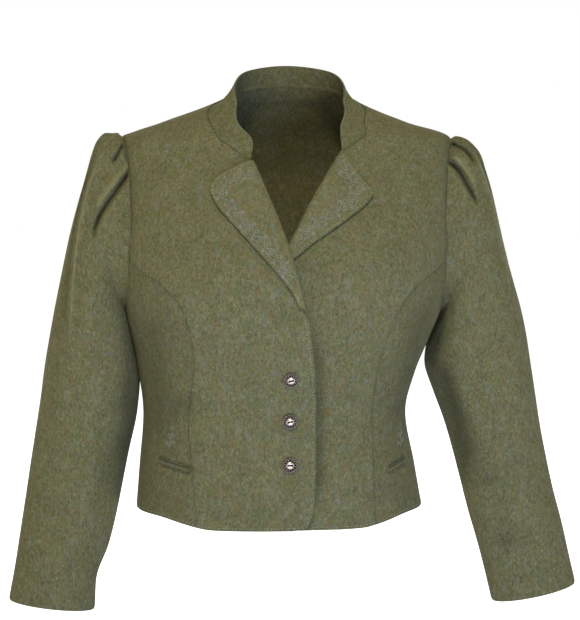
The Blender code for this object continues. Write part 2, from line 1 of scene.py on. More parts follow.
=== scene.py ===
"""Short fitted loden jacket in the Tyrolean style: cloth, seams, stitches, embroidery and buttons.

Lengths in the tables are millimetres. The wearer faces -Y, so the wearer's right side is at -X.
Each cloth piece is a fine grid on the garment's form, given the thickness of the wool.
"""
import math
from collections import namedtuple

import bmesh
import bpy
import numpy as np
from mathutils import Matrix, Vector
from mathutils.bvhtree import BVHTree


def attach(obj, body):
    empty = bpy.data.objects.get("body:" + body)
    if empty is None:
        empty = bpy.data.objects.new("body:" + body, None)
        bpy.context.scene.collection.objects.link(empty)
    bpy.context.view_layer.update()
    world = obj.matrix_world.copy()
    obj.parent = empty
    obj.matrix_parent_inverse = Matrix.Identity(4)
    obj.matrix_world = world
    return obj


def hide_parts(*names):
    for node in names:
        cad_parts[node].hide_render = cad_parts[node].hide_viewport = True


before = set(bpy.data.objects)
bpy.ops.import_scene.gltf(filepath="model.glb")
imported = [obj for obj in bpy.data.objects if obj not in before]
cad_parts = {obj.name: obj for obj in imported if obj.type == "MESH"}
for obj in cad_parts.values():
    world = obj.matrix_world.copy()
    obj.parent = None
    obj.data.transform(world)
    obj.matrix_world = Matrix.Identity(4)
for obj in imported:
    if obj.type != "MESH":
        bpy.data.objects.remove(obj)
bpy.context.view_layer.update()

bl_info = {
    "name": "Tyrolean Loden Jacket",
    "version": (1, 0, 0),
    "blender": (4, 5, 0),
    "location": "3D View > Sidebar > Jacket",
    "description": "Builds the cloth pieces, stitches, embroidery and buttons of a fitted loden jacket",
    "category": "Add Mesh",
}

MM = 0.001

# ------------------------------------------------------------------ the garment's form (millimetres)
CLOTH = 2.0
LAYER_GAP = 0.4
HEM_Z, HEM_RISE, BACK_HEM_RISE = -512.0, 12.0, 4.0
ARMPIT_Z, SHOULDER_TIP_Z, NECK_POINT_Z = -262.0, -43.0, 8.0
RIGHT_CORNER, LEFT_CORNER = 24.0, 4.0
BUTTON_Z = (-325.5, -378.0, -431.5)
BUTTON_LINE_X = -1.0

# Levels of the form: height, half width, depth to the front and to the back of the middle line, how square
# the front and the back are, and the x and y of the middle line.
SECTIONS = (
    (-512, 181, 124, 108, 2.30, 2.40, -4, 0),    # hem
    (-450, 173, 121, 100, 2.25, 2.40, -7, 0),    # hip
    (-383, 165, 118, 89, 2.20, 2.30, -10, 0),    # waist
    (-335, 173, 130, 95, 2.20, 2.35, -7, 0),     # ribs
    (-295, 184, 141, 103, 2.30, 2.45, -3, 0),    # under the bust
    (-250, 198, 148, 108, 2.40, 2.55, 0, 0),     # just above the armpit
    (-205, 205, 147, 111, 2.45, 2.60, 2, 1),     # bust
    (-150, 207, 131, 113, 2.40, 2.60, 4, 3),     # chest
    (-100, 208, 108, 110, 2.30, 2.50, 5, 6),     # upper chest
    (-62, 208, 86, 98, 2.20, 2.40, 6, 9),        # below the shoulder tip
    (-45, 206, 76, 91, 2.15, 2.30, 7, 10),       # shoulder tip
    (-22, 152, 60, 80, 2.05, 2.20, 3, 10),       # middle of the shoulder
    (-3, 102, 48, 70, 2.00, 2.10, 6, 11),        # near the neck
    (8, 80, 43, 63, 2.00, 2.00, 8, 12),          # neck point
    (22, 70, 44, 59, 2.00, 2.00, 9, 12),         # stand collar
    (37, 64.5, 46, 57, 2.00, 2.00, 10, 12),
    (56, 62, 48, 56, 2.00, 2.00, 10, 12),
)
BUST_HEIGHT, BUST_X, BUST_Z = 9.0, 88.0, -208.0
BUST_SPREAD_X, BUST_SPREAD_Z, BUST_TURN = 62.0, 70.0, 1.6

# Front-view lines (x, z) of the folded lapels and the buttoned edges.
ROLL_RIGHT = ((-41, -66), (-23, -111), (-6, -157), (8, -206), (15, -240))
ROLL_LEFT = ((65, -54), (33, -100), (-3, -159), (-26, -205))
ROLL_LEFT_SHOWN = ((65, -54), (33, -100), (-3, -159), (-13, -177))
EDGE_RIGHT = ((27.5, -488), (30.5, -430), (30.5, -370), (28.0, -325), (22.0, -275), (17.5, -246))
EDGE_LEFT = ((-28.5, -508), (-28.5, -400), (-28.5, -209))
LAPEL_TOP_RIGHT = ((-41, -66), (-54, -70), (-67, -75), (-84, -84.5), (-92, -91))
LAPEL_SIDE_RIGHT = ((-92, -91), (-95, -99), (-88, -117), (-68, -141), (-46, -166), (-28, -186),
                    (-9, -208), (2, -224), (7.5, -236))
LAPEL_TOP_LEFT = ((65, -54), (74, -69), (88, -88), (96, -97))
LAPEL_SIDE_LEFT = ((96, -97), (101, -105), (93, -116), (68, -134), (42, -151), (12, -170), (-2, -181))
UNDER_DEPTH, LAPEL_DEPTH = CLOTH + 4.5 * LAYER_GAP, 8.4
LAPEL_END_Z, LAPEL_FULL_Z = -280.0, -210.0
UNDER_REACH, UNDER_RUN, PANEL_SETBACK = 40.0, 36.0, 2.6

# Seams, as (x, z) in front view or as (angle in degrees, z).
PRINCESS_X = ((106, -512), (104, -450), (103, -383), (105, -335), (117, -278), (139, -231), (165, -208))
NECK_SEAM_RIGHT = ((-30.6, -65), (-37, -59), (-51, -43), (-66, -18), (-90, 8))
NECK_SEAM_LEFT = ((37.6, -54), (42, -51), (54, -38), (68, -15), (90, 8))
BACK_NECK_SEAM = ((90, 8), (120, 15), (150, 19), (180, 20), (210, 19), (240, 15), (270, 8))
COLLAR_TOP = ((-32, -50), (-35, -39), (-48, -21), (-66, 4), (-88, 26), (-125, 41), (-180, 47),
              (-235, 41), (-270, 27), (-291, 6), (-303, -12), (-312, -25), (-320, -41))
FRONT_SCYE_ANGLE, BACK_SCYE_ANGLE, SCYE_SKEW = 17.0, 15.0, 0.25

# Lines along a sleeve: head and low are angles round it from the shoulder seam, front positive, rise is
# how high the pleated cloth stands there, and end is the section at which the pleat has faded.
PleatLine = namedtuple("PleatLine", "head low rise end")
PLEAT_LINES = (
    (3, 16, 0.0, 11), (8, 22, 3.6, 11), (17, 28, 3.0, 10), (28, 34, 3.2, 9), (38, 40, 4.4, 8),
    (44, 48, 0.0, 8), (57, 60, 0.0, 8), (73, 75, 0.0, 8), (90, 90, 0.0, 8), (108, 108, 0.0, 8),
    (126, 126, 0.0, 8), (145, 145, 0.0, 8), (163, 163, 0.0, 8),
)
PRINCESS_LINE = 9        # place in PLEAT_LINES where the princess seam ends
SleeveSection = namedtuple("SleeveSection", "x_out z_out x_in z_in y_mid half_depth")
SLEEVE_RIGHT = (
    (197, -43, 196, -262), (205, -38, 197, -262.5), (216, -36, 198, -263), (227, -45, 198.5, -264),
    (234, -60, 198.5, -266), (240, -77, 198, -268.5), (248, -102, 197, -272), (257, -133, 195.5, -276),
    (266, -168, 193, -282), (275, -210, 190, -290), (283, -248, 187, -301), (290, -285, 182.5, -318),
    (297, -325, 178.5, -347), (302, -362, 182, -385), (309, -405, 191.5, -427), (316, -448, 200, -468),
    (323, -492, 209, -510), (330, -535, 220, -551), (336.5, -574, 235, -588), (344, -612, 237, -626),
)
SLEEVE_LEFT = (
    (211, -43, 196, -262), (218, -42, 197, -262.5), (227, -44, 197.5, -263), (237, -51, 197.5, -264.5),
    (246, -62, 197, -266.5), (252, -78, 196, -269), (260, -102, 194.5, -273), (268, -132, 192, -278),
    (277, -168, 189, -284.5), (288, -208, 185.5, -293), (299, -247, 182, -305), (307.5, -282, 180, -325),
    (314, -320, 190, -357), (321, -362, 205.5, -398), (328, -405, 217, -437), (336, -446, 227, -476),
    (344.5, -487, 236.5, -515), (355, -528, 247, -552), (363, -567, 256, -589), (371, -604, 264, -626),
)
# Both sleeves: the y of each section's middle and half its depth.
SLEEVE_DEPTHS = (
    (4, 50), (4, 51), (4, 53), (3, 55), (3, 57), (3, 58), (2, 59), (2, 60), (2, 60), (2, 60), (2, 59),
    (3, 58), (4, 57), (5, 55), (5, 53), (3, 50), (-2, 47), (-8, 43), (-15, 39), (-22, 36),
)
HEAD_BLEND = 6           # sections over which the round sleeve takes the armhole's own shape
SEAM_RISE = 0.8
LAPEL_PROFILE = ((0.0, 0.2), (0.05, 3.4), (0.12, 4.9), (0.28, 4.6), (0.50, 3.5), (0.75, 3.0), (1.0, 2.8))
LAPEL_FULL_WIDTH = 26.0
LAPEL_ROWS = 17
WELT_TOP_LEFT = ((121.5, -442), (146, -433.5))
WELT_TOP_RIGHT = ((105.5, -436.5), (141, -428.5))
WELT_DEPTH, WELT_WALL = 7.0, 1.4
# The face of a welt stands off the form; it sinks at the pocket's mouth, a share of the way down.
WELT_RISE, MOUTH, MOUTH_SINK, MOUTH_WIDTH = 1.9, 0.2, 1.5, 0.12


# ------------------------------------------------------------------ curves and the body form
def smooth(t):
    """Soft step from 0 to 1."""
    t = np.clip(t, 0.0, 1.0)
    return t * t * (3.0 - 2.0 * t)


def spline(knots, values, at):
    """Monotone cubic through the columns of values at the given knots."""
    knots, values = np.asarray(knots, float), np.asarray(values, float)
    if values.ndim == 1:
        return spline(knots, values[:, None], at)[..., 0]
    width = np.diff(knots)[:, None]
    slope = np.diff(values, axis=0) / width
    tangent = np.zeros_like(values)
    tangent[0], tangent[-1] = slope[0], slope[-1]
    same_way = slope[1:] * slope[:-1] > 0
    before, after = np.where(same_way, slope[:-1], 1), np.where(same_way, slope[1:], 1)
    near, far = 2 * width[1:] + width[:-1], width[1:] + 2 * width[:-1]
    mean = 3 * (width[1:] + width[:-1]) / (near / before + far / after)
    tangent[1:-1] = np.where(same_way, mean, 0.0)
    at = np.clip(np.asarray(at, float), knots[0], knots[-1])
    i = np.clip(np.searchsorted(knots, at, side="right") - 1, 0, len(knots) - 2)
    h = (knots[i + 1] - knots[i])[..., None]
    t = (at - knots[i])[..., None] / h
    return ((1 + 2 * t) * (1 - t) ** 2 * values[i] + t * (1 - t) ** 2 * h * tangent[i]
            + t * t * (3 - 2 * t) * values[i + 1] + t * t * (t - 1) * h * tangent[i + 1])


TABLE = np.array(SECTIONS, float)
# Girth line: distance run along the side of the form, so that levels crowd where the shoulder is flat.
GIRTH = np.concatenate([[0.0], np.cumsum(np.hypot(np.diff(TABLE[:, 0]), np.diff(TABLE[:, 1])))])

FINE_GIRTH = np.linspace(0.0, GIRTH[-1], 600)
FINE_HEIGHT = spline(GIRTH, TABLE[:, 0], FINE_GIRTH)
FINE_ANGLE = np.radians(np.linspace(-90, 90, 361))


def girth_of(z):
    """Girth-line value of a height."""
    return np.interp(z, FINE_HEIGHT, FINE_GIRTH)


def body(angle, girth, lift=0.0):
    """Points on the form: angle 0 at the centre front, positive to the wearer's left, in radians."""
    angle, girth = np.broadcast_arrays(np.asarray(angle, float), np.asarray(girth, float))
    z, half, front, back, n_front, n_back, x_mid, y_mid = np.moveaxis(spline(GIRTH, TABLE, girth), -1, 0)
    facing = np.cos(angle) > 0
    depth, power = np.where(facing, front, back), np.where(facing, n_front, n_back)
    across, along = np.abs(np.sin(angle)) / half, np.abs(np.cos(angle)) / depth
    radius = (across ** power + along ** power) ** (-1 / power)
    x, y = radius * np.sin(angle), -radius * np.cos(angle)
    off_x, off_z = (np.abs(x) - BUST_X) / BUST_SPREAD_X, (z - BUST_Z) / BUST_SPREAD_Z
    bust = BUST_HEIGHT * np.exp(-off_x ** 2 - off_z ** 2)
    y = y - np.where(facing, bust * smooth(np.cos(angle) * BUST_TURN), 0.0)
    points = np.stack([x + x_mid, y + y_mid, z], -1)
    if np.any(lift):
        points = points + np.asarray(lift, float)[..., None] * body_normal(angle, girth)
    return points


def unit(vectors):
    """Vectors scaled to length 1."""
    return vectors / np.maximum(np.linalg.norm(vectors, axis=-1, keepdims=True), 1e-9)


def body_normal(angle, girth):
    """Outward normals of the form."""
    step_a, step_g = 0.01, 1.5
    around = body(angle + step_a, girth) - body(angle - step_a, girth)
    above, below = np.minimum(girth + step_g, GIRTH[-1]), np.maximum(girth - step_g, 0.0)
    return unit(np.cross(around, body(angle, above) - body(angle, below)))


def on_front(points):
    """(angle, girth) of front-view (x, z) points, on the front half of the form."""
    points = np.asarray(points, float)
    girth = girth_of(points[:, 1])
    across = body(FINE_ANGLE[None, :], girth[:, None])[..., 0]
    angle = [np.interp(x, row, FINE_ANGLE) for x, row in zip(points[:, 0], across)]
    return np.stack([angle, girth], -1)


def angle_of(x, z):
    """Angle on the front half at which the form reaches x at height z."""
    return on_front([(x, z)])[0, 0]


def run_of(points):
    """Distance run along a row of points."""
    return np.concatenate([[0.0], np.cumsum(np.linalg.norm(np.diff(points, axis=0), axis=1))])


def front_curve(rows, count):
    """Evenly spaced (angle, girth) points along a front-view line given by its (x, z) rows."""
    rows = np.array(rows, float)
    run = run_of(rows)
    return on_front(spline(run, rows, np.linspace(0, run[-1], count)))


def seam(rows, count):
    """Evenly spaced (angle, girth) points along a seam given by (angle in degrees, z) rows."""
    rows = np.array([(math.radians(angle), girth_of(z)) for angle, z in rows])
    fine = spline(np.arange(len(rows)), rows, np.linspace(0, len(rows) - 1, 40 * len(rows)))
    run = run_of(body(fine[:, 0], fine[:, 1]))
    even = np.linspace(0, run[-1], count)
    return np.stack([np.interp(even, run, fine[:, 0]), np.interp(even, run, fine[:, 1])], -1)


def on_side(line, side):
    """A line of the wearer's left half as it is (side 1), or on the other side of the body (side -1)."""
    return line * np.array([side, 1.0])


def joined(*lines):
    """Lines end to end, the shared points kept once."""
    return np.concatenate([lines[0]] + [line[1:] for line in lines[1:]])


def straight(start, end, count):
    """Evenly spaced points from start to end."""
    return start + (end - start) * np.linspace(0, 1, count)[:, None]


def hem_z(angle):
    """Height of the hem: lowest at the front, raised over the hips, a little lower at the back."""
    turn = abs((math.degrees(angle) + 180) % 360 - 180)
    side = BACK_HEM_RISE + (HEM_RISE - BACK_HEM_RISE) * smooth((180 - turn) / 90)
    return HEM_Z + (HEM_RISE * smooth((turn - 38) / 30) if turn < 90 else side)


def hem(start, end, count):
    """Points along the hem between two angles."""
    return np.array([(angle, girth_of(hem_z(angle))) for angle in np.linspace(start, end, count)])


def coons(left, right, bottom, top, shares=None):
    """Grid of (angle, girth) filled in between four edges that share their corners."""
    v = np.linspace(0, 1, len(left))[:, None, None]
    u = (np.linspace(0, 1, len(bottom)) if shares is None else np.asarray(shares))[None, :, None]
    low, high = (1 - u) * bottom[0] + u * bottom[-1], (1 - u) * top[0] + u * top[-1]
    sides = (1 - u) * left[:, None] + u * right[:, None]
    ends = (1 - v) * bottom[None] + v * top[None]
    return sides + ends - ((1 - v) * low + v * high)


def armhole(turn):
    """(angle, girth) on the wearer's left armhole, turn in degrees from the shoulder tip to the front."""
    turn = math.radians(turn)
    z = (SHOULDER_TIP_Z + ARMPIT_Z) / 2 + (SHOULDER_TIP_Z - ARMPIT_Z) / 2 * math.cos(turn)
    reach = FRONT_SCYE_ANGLE if math.sin(turn) > 0 else BACK_SCYE_ANGLE
    bulge = reach * math.sin(turn) * (1 - SCYE_SKEW * math.cos(turn))
    return math.radians(90 - bulge), girth_of(z)


HEAD_TURNS = [line[0] for line in PLEAT_LINES]
RING_TURNS = [0.0] + HEAD_TURNS + [180.0] + [-turn for turn in reversed(HEAD_TURNS)]
ARMHOLE = np.array([armhole(turn) for turn in RING_TURNS])
SCYE_BOTTOM = len(HEAD_TURNS) + 1
ARMHOLE_TOP_FRONT = ARMHOLE[:PRINCESS_LINE + 2][::-1]
ARMHOLE_BACK = np.concatenate([ARMHOLE[SCYE_BOTTOM:], ARMHOLE[:1]])
PRINCESS = joined(front_curve(PRINCESS_X, 15),
                  straight(front_curve(PRINCESS_X[-2:], 2)[1], ARMHOLE[PRINCESS_LINE + 1], 3))
PRINCESS[0, 1] = girth_of(hem_z(PRINCESS[0, 0]))
SIDE_SEAM = seam(((90, HEM_Z + HEM_RISE), (90, -383), (90, ARMPIT_Z)), len(PRINCESS))
NECK_POINTS, BACK_NECK_POINTS = 7, 21
FULL_TURN = np.array([2 * math.pi, 0.0])

# The right front's free edge springs off the left front: how high, over which width, and below which height.
EDGE_SPRING, EDGE_REACH, SPRING_TOP_Z, SPRING_RUN = 1.8, 24.0, -240.0, 40.0


def cover_x(z):
    """Where the right front's inner edge runs: its roll line, then the buttoned edge."""
    rows = np.array(EDGE_RIGHT + ROLL_RIGHT[::-1], float)
    return np.interp(z, rows[:, 1], rows[:, 0])


def under(points):
    """Lift of the wearer's left front: it dips where the right front lies over it."""
    x, z = points[..., 0], points[..., 2]
    folded = smooth((z - LAPEL_END_Z) / (LAPEL_FULL_Z - LAPEL_END_Z))
    depth = UNDER_DEPTH + (LAPEL_DEPTH - UNDER_DEPTH) * folded
    return -depth * smooth((cover_x(z) + UNDER_REACH - x) / UNDER_RUN)


def edge_spring(points):
    """Lift of the wearer's right front: its free edge springs off the left front below the lapel."""
    x, z = points[..., 0], points[..., 2]
    return EDGE_SPRING * smooth((x - cover_x(z)) / EDGE_REACH + 1.0) * smooth((SPRING_TOP_Z - z) / SPRING_RUN)


def front_edge(way, edge, roll, corner, neck):
    """Inner edge of a front from the hem up; way is 1 where the front lies towards -X of its edge."""
    turns = np.linspace(0, math.pi / 2, 4)
    low = [(edge[0][0] - way * corner * (1 - math.sin(turn)), HEM_Z + corner * (1 - math.cos(turn)))
           for turn in turns]
    low_line = on_front(low)
    edge_line = front_curve((low[-1],) + edge[1:], 11)
    roll_line = front_curve([(x - way * PANEL_SETBACK, z) for x, z in roll[::-1]], 7)[:-1]
    return np.concatenate([low_line[:-1], edge_line, roll_line, neck])


# ------------------------------------------------------------------ cut pieces as coarse (angle, girth) grids
def front_grid(way, edge, roll, corner, neck_rows):
    """A front from its princess seam and armhole to the buttoned edge."""
    outer = joined(PRINCESS, ARMHOLE_TOP_FRONT)
    outer = on_side(outer, -way)
    shares = np.linspace(0, 1, 13) ** 1.35
    inner = front_edge(way, edge, roll, corner, seam(neck_rows, NECK_POINTS))
    high = inner[-1] + (outer[-1] - inner[-1]) * shares[:, None]
    low = inner[0] + (outer[0] - inner[0]) * shares[:, None]
    low[:, 1] = [girth_of(hem_z(angle)) for angle in low[:, 0]]
    return coons(inner, outer, low, high, shares)


def side_front_grid(side):
    """The panel between the princess seam and the side seam; side is 1 for the wearer's left."""
    turns = HEAD_TURNS[PRINCESS_LINE:] + [180.0]
    between = [(a + b) / 2 for a, b in zip(turns, turns[1:])]
    high = np.array([armhole(turn) for turn in sorted(turns + between)])
    low = hem(PRINCESS[0, 0], SIDE_SEAM[0, 0], len(high))
    return on_side(coons(PRINCESS, SIDE_SEAM, low, high), side)


def back_grid():
    """The back, from one side seam, armhole and shoulder to the other."""
    to_neck = straight(ARMHOLE[0], np.array([math.pi / 2, girth_of(NECK_POINT_Z)]), 6)
    left = joined(SIDE_SEAM, ARMHOLE_BACK, to_neck)
    right = on_side(left, -1.0) + FULL_TURN
    low = hem(left[0, 0], right[0, 0], BACK_NECK_POINTS)
    return coons(left, right, low, seam(BACK_NECK_SEAM, BACK_NECK_POINTS))


def collar_grid():
    """The stand collar, from the neck seam up."""
    right, left = seam(NECK_SEAM_RIGHT, NECK_POINTS), seam(NECK_SEAM_LEFT, NECK_POINTS)
    round_back = seam(BACK_NECK_SEAM, BACK_NECK_POINTS)[::-1] - FULL_TURN
    low = joined(right, round_back, left[::-1] - FULL_TURN)
    high = seam(COLLAR_TOP, len(low))
    return coons(straight(low[0], high[0], 4), straight(low[-1], high[-1], 4), low, high)


def lapel_grid(roll, top, side):
    """A turned-back lapel from its roll line out to its edge, with the height of its face."""
    shares, heights = np.array(LAPEL_PROFILE).T
    inner, outer = front_curve(roll, LAPEL_ROWS), front_curve(side, LAPEL_ROWS)
    high = front_curve(top, 101)[np.round(shares * 100).astype(int)]
    low = inner[-1] + (outer[-1] - inner[-1]) * shares[:, None]
    grid = coons(inner, outer, high, low, shares)
    width = np.linalg.norm(body(*outer.T) - body(*inner.T), axis=1)
    narrow = (1 - smooth(width / LAPEL_FULL_WIDTH))[:, None]
    return grid, heights + (heights[-1] - heights) * narrow


def sleeve_tube(side, sections):
    """Rings of points from the armhole to the cuff; side is 1 for the wearer's left."""
    table = np.array([ends + depth for ends, depth in zip(sections, SLEEVE_DEPTHS)], float)
    pleats = [PleatLine(*line) for line in PLEAT_LINES]
    behind = [line._replace(head=-line.head, low=-line.low) for line in reversed(pleats)]
    top, bottom = PleatLine(0, 0, 0, 8), PleatLine(180, 180, 0, 8)
    head, low, rise, end = np.array([top, *pleats, bottom, *behind], float).T
    fade = 1 - smooth(np.arange(len(table))[:, None] / end)
    turn = np.radians(low + (head - low) * fade)

    def ring(values, at):
        """Points round one section of the sleeve at the given angles."""
        s = SleeveSection(*values)
        wide, tall = (s.x_out - s.x_in) / 2 * np.cos(at), (s.z_out - s.z_in) / 2 * np.cos(at)
        return np.stack([side * ((s.x_out + s.x_in) / 2 + wide), s.y_mid - s.half_depth * np.sin(at),
                         (s.z_out + s.z_in) / 2 + tall], -1)

    scye = on_side(ARMHOLE, side)
    start, normal = body(*scye.T), body_normal(*scye.T)
    fit = start - ring(table[0], np.radians(head))
    rings = [ring(table[i], turn[i]) + fit * (1 - smooth(i / HEAD_BLEND)) for i in range(1, len(table))]
    tube = np.array([start - normal * CLOTH, start + normal * SEAM_RISE] + rings)
    out = unit(np.cross(np.roll(tube, -1, axis=1) - np.roll(tube, 1, axis=1), np.gradient(tube, axis=0)))
    out *= np.sign(np.sum(out * (tube - tube.mean(axis=1, keepdims=True)), axis=-1).mean())
    height = np.concatenate([np.zeros((2, len(head))), (rise * fade)[1:]])
    return tube + out * height[..., None]


# ------------------------------------------------------------------ fine grids, folds and seams
RIM_SHARE = 0.06         # the first and last rows of a fine grid lie this close to the edge
SEAM_DIP, SEAM_WIDTH, SEAM_OVERLAP = 1.0, 2.3, 0.7
# A seam's dip gets painted shade through the relief, which the finish darkens.
SEAM_SHADE = 2.5         # how much darker a seam's dip looks than a fold as deep
TIP_RISE, TIP_X, TIP_WIDTH, TIP_LOW_Z, TIP_RUN = 4.2, -199.0, 6.5, -75.0, 25.0
FOLD_LEAN = 1.5          # folds are pushed this much more to the front or back than the form's normal


def steps(count, finer):
    """Places along count spans, each cut finer times, with one more close to each end."""
    even = np.linspace(0, count, count * finer + 1)
    return np.concatenate([[0, RIM_SHARE], even[1:-1], [count - RIM_SHARE, count]])


def refined(grid, at_rows, at_columns):
    """A grid read between its points, by smooth curves both ways."""
    rows, columns = grid.shape[:2]
    down = spline(np.arange(rows), grid.reshape(rows, -1), at_rows).reshape(len(at_rows), columns, -1)
    across = np.moveaxis(down, 1, 0).reshape(columns, -1)
    full = spline(np.arange(columns), across, at_columns)
    return np.moveaxis(full.reshape(len(at_columns), len(at_rows), -1), 0, 1)


def refined_ring(grid, at_rows, at_columns):
    """The same for a tube: its columns close on themselves, and the first is repeated at the end."""
    columns = grid.shape[1]
    wrapped = np.concatenate([grid[:, -3:], grid, grid[:, :4]], axis=1)
    down = spline(np.arange(len(grid)), wrapped.reshape(len(grid), -1), at_rows)
    knots = down.reshape(len(at_rows), columns + 7, 3)
    at = at_columns + 3
    i = np.floor(at).astype(int)
    t = (at - i)[None, :, None]
    before, here, after, beyond = (knots[:, i + k] for k in (-1, 0, 1, 2))
    # Catmull-Rom curve round the tube
    return here + 0.5 * t * (after - before + t * (2 * before - 5 * here + 4 * after - beyond
                                                   + t * (3 * (here - after) + beyond - before)))


def grid_normals(points, outward, ring=False):
    """Normals of a grid of points, on the side that the outward vectors point to."""
    if ring:
        around = np.roll(points[:, :-1], -1, axis=1) - np.roll(points[:, :-1], 1, axis=1)
        around = np.concatenate([around, around[:, :1]], axis=1)
    else:
        around = np.gradient(points, axis=1)
    normal = unit(np.cross(around, np.gradient(points, axis=0)))
    return normal * np.sign(np.sum(normal * outward, axis=-1).mean())


# A fold: the side of the garment it shows on (-1 front, 1 back), its half width on the steep and on the
# soft side, its height (a trough is negative), and its front-view line.
Fold = namedtuple("Fold", "facing steep soft height line")


def off_line(x, z, line):
    """Signed distance from a front-view line, and the share of the line run at the nearest point."""
    line = np.array(line, float)
    run = run_of(line)
    nearest, place, side = np.full(x.shape, 1e9), np.zeros(x.shape), np.ones(x.shape)
    for a, b, start, end in zip(line, line[1:], run, run[1:]):
        along = (b - a) / (end - start)
        t = np.clip((x - a[0]) * along[0] + (z - a[1]) * along[1], 0, end - start)
        dx, dz = x - a[0] - t * along[0], z - a[1] - t * along[1]
        distance = np.hypot(dx, dz)
        closer = distance < nearest
        nearest = np.where(closer, distance, nearest)
        place = np.where(closer, (start + t) / run[-1], place)
        side = np.where(closer, np.sign(along[0] * dz - along[1] * dx), side)
    return nearest * side, place


def folded(points, normal, folds):
    """Points pushed outwards and to the front or back by soft ridges and troughs that fade at both ends."""
    push, strength = np.zeros(points.shape), bpy.context.scene.jacket_cloth.fold_strength
    ways = {facing: unit(normal + np.array([0.0, facing * FOLD_LEAN, 0.0])) for facing in (-1, 1)}
    for fold in folds:
        off, place = off_line(points[..., 0], points[..., 2], fold.line)
        width = np.where(off > 0, fold.soft, fold.steep)
        ends = np.clip(6 * place * (1 - place), 0, 1)
        shown = smooth(fold.facing * normal[..., 1] * 2.2 + 0.1)
        rise = fold.height * strength * ends * np.exp(-(off / width) ** 2) * shown
        push += rise[..., None] * ways[fold.facing]
    return points + push


def tip_raised(points):
    """The wearer's right shoulder tip stands a little higher, level with the head of its sleeve."""
    x, z = points[..., 0], points[..., 2]
    points = points.copy()
    points[..., 2] += TIP_RISE * np.exp(-((x - TIP_X) / TIP_WIDTH) ** 2) * smooth((z - TIP_LOW_Z) / TIP_RUN)
    return points


def uneven(*parts):
    """Places along several stretches of spans, each (last span, cuts in each span)."""
    places, start = [0.0], 0
    for end, finer in parts:
        places += list(start + np.arange(1, (end - start) * finer + 1) / finer)
        start = end
    return np.array(places)


def closed_up(points, seams):
    """Sewn edges reach a little past the seam, so that no light falls through it."""
    points = points.copy()
    for name, edge, next_in in (("low", np.s_[0], np.s_[2]), ("high", np.s_[-1], np.s_[-3]),
                                ("first", np.s_[:, 0], np.s_[:, 2]), ("last", np.s_[:, -1], np.s_[:, -3])):
        if name in seams:
            points[edge] += unit(points[edge] - points[next_in]) * SEAM_OVERLAP
    return points


def seam_dip(points, seams):
    """How far the cloth sinks beside its sewn edges; seams are some of low, high, first and last."""
    dip = np.zeros(points.shape[:2])
    edges = {"low": points[:1], "high": points[-1:], "first": points[:, :1], "last": points[:, -1:]}
    for name in seams:
        across = np.linalg.norm(points - edges[name], axis=-1)
        dip = np.maximum(dip, SEAM_DIP * np.exp(-(across / SEAM_WIDTH) ** 2))
    return dip


# ------------------------------------------------------------------ meshes
def show(name, maker, finish, solid=0.0, subdivide=0):
    """Make one object from a filled bmesh, with live thickness and smoothing if they are given."""
    mesh = bpy.data.meshes.new(name)
    maker.to_mesh(mesh)
    maker.free()
    mesh.materials.append(finish)
    mesh.shade_smooth()
    made = bpy.data.objects.new(name, mesh)
    bpy.context.scene.collection.objects.link(made)
    if solid:
        wall = made.modifiers.new("Thickness", "SOLIDIFY")
        wall.thickness, wall.offset, wall.use_even_offset = solid * MM, -1.0, False
    if subdivide:
        soft = made.modifiers.new("Smooth", "SUBSURF")
        soft.levels = soft.render_levels = subdivide
    return made


def cloth(name, points, normal, finish, thickness=CLOTH, ring=False, relief=None):
    """A piece of cloth from a fine grid of points in millimetres, facing its normals.

    Relief is how far folds and seams stand up or sink at each point; the finish paints shade where it sinks
    and a highlight where it stands up.
    """
    rows, columns = points.shape[:2]
    maker = bmesh.new()
    maker.loops.layers.uv.new("Cloth")
    bmesh.ops.create_grid(maker, x_segments=columns - 1, y_segments=rows - 1, size=0.5, calc_uvs=True)
    worn = maker.verts.layers.float.new("relief")
    heights = np.zeros(rows * columns) if relief is None else relief.ravel()
    for vert, place, height in zip(maker.verts, points.reshape(-1, 3), heights):
        vert.co = place * MM
        vert[worn] = height
    if ring:
        bmesh.ops.remove_doubles(maker, verts=maker.verts, dist=1e-6)
    maker.faces.ensure_lookup_table()
    maker.normal_update()
    middle = len(maker.faces) // 2
    row, column = divmod(middle, columns - 1)
    if maker.faces[middle].normal.dot(Vector(normal[row, column])) < 0:
        bmesh.ops.reverse_faces(maker, faces=maker.faces)
    return show(name, maker, finish, solid=thickness, subdivide=1)


# ------------------------------------------------------------------ needlework laid on the cloth
def skin_of(*names):
    """Search trees of finished pieces, with their thickness and smoothing."""
    graph = bpy.context.evaluated_depsgraph_get()
    return [BVHTree.FromObject(bpy.data.objects[name], graph) for name in names]


LAID_REACH = 14.0        # how far off the cloth the search for it starts


def laid(points, normals, skins):
    """The points moved along their normals onto the outermost of the skins, and the normals there."""
    placed = []
    for point, normal in zip(points, normals):
        way = Vector(normal)
        start = Vector(point * MM) + way * LAID_REACH * MM
        hits = [skin.ray_cast(start, -way, 2.2 * LAID_REACH * MM) for skin in skins]
        hits = [hit for hit in hits if hit[0] is not None]
        if hits:
            nearest = min(hits, key=lambda hit: hit[3])
            placed.append((nearest[0], nearest[1] if nearest[1].dot(way) > 0 else -nearest[1]))
    return placed


SPANS_AT_ONCE = 24       # sewn in small meshes, which is much faster than in one large one
# A stitch: its length, width and height, in millimetres, and how proud it lies as a share of its height.
Stitch = namedtuple("Stitch", "long wide high proud", defaults=(0.2,))


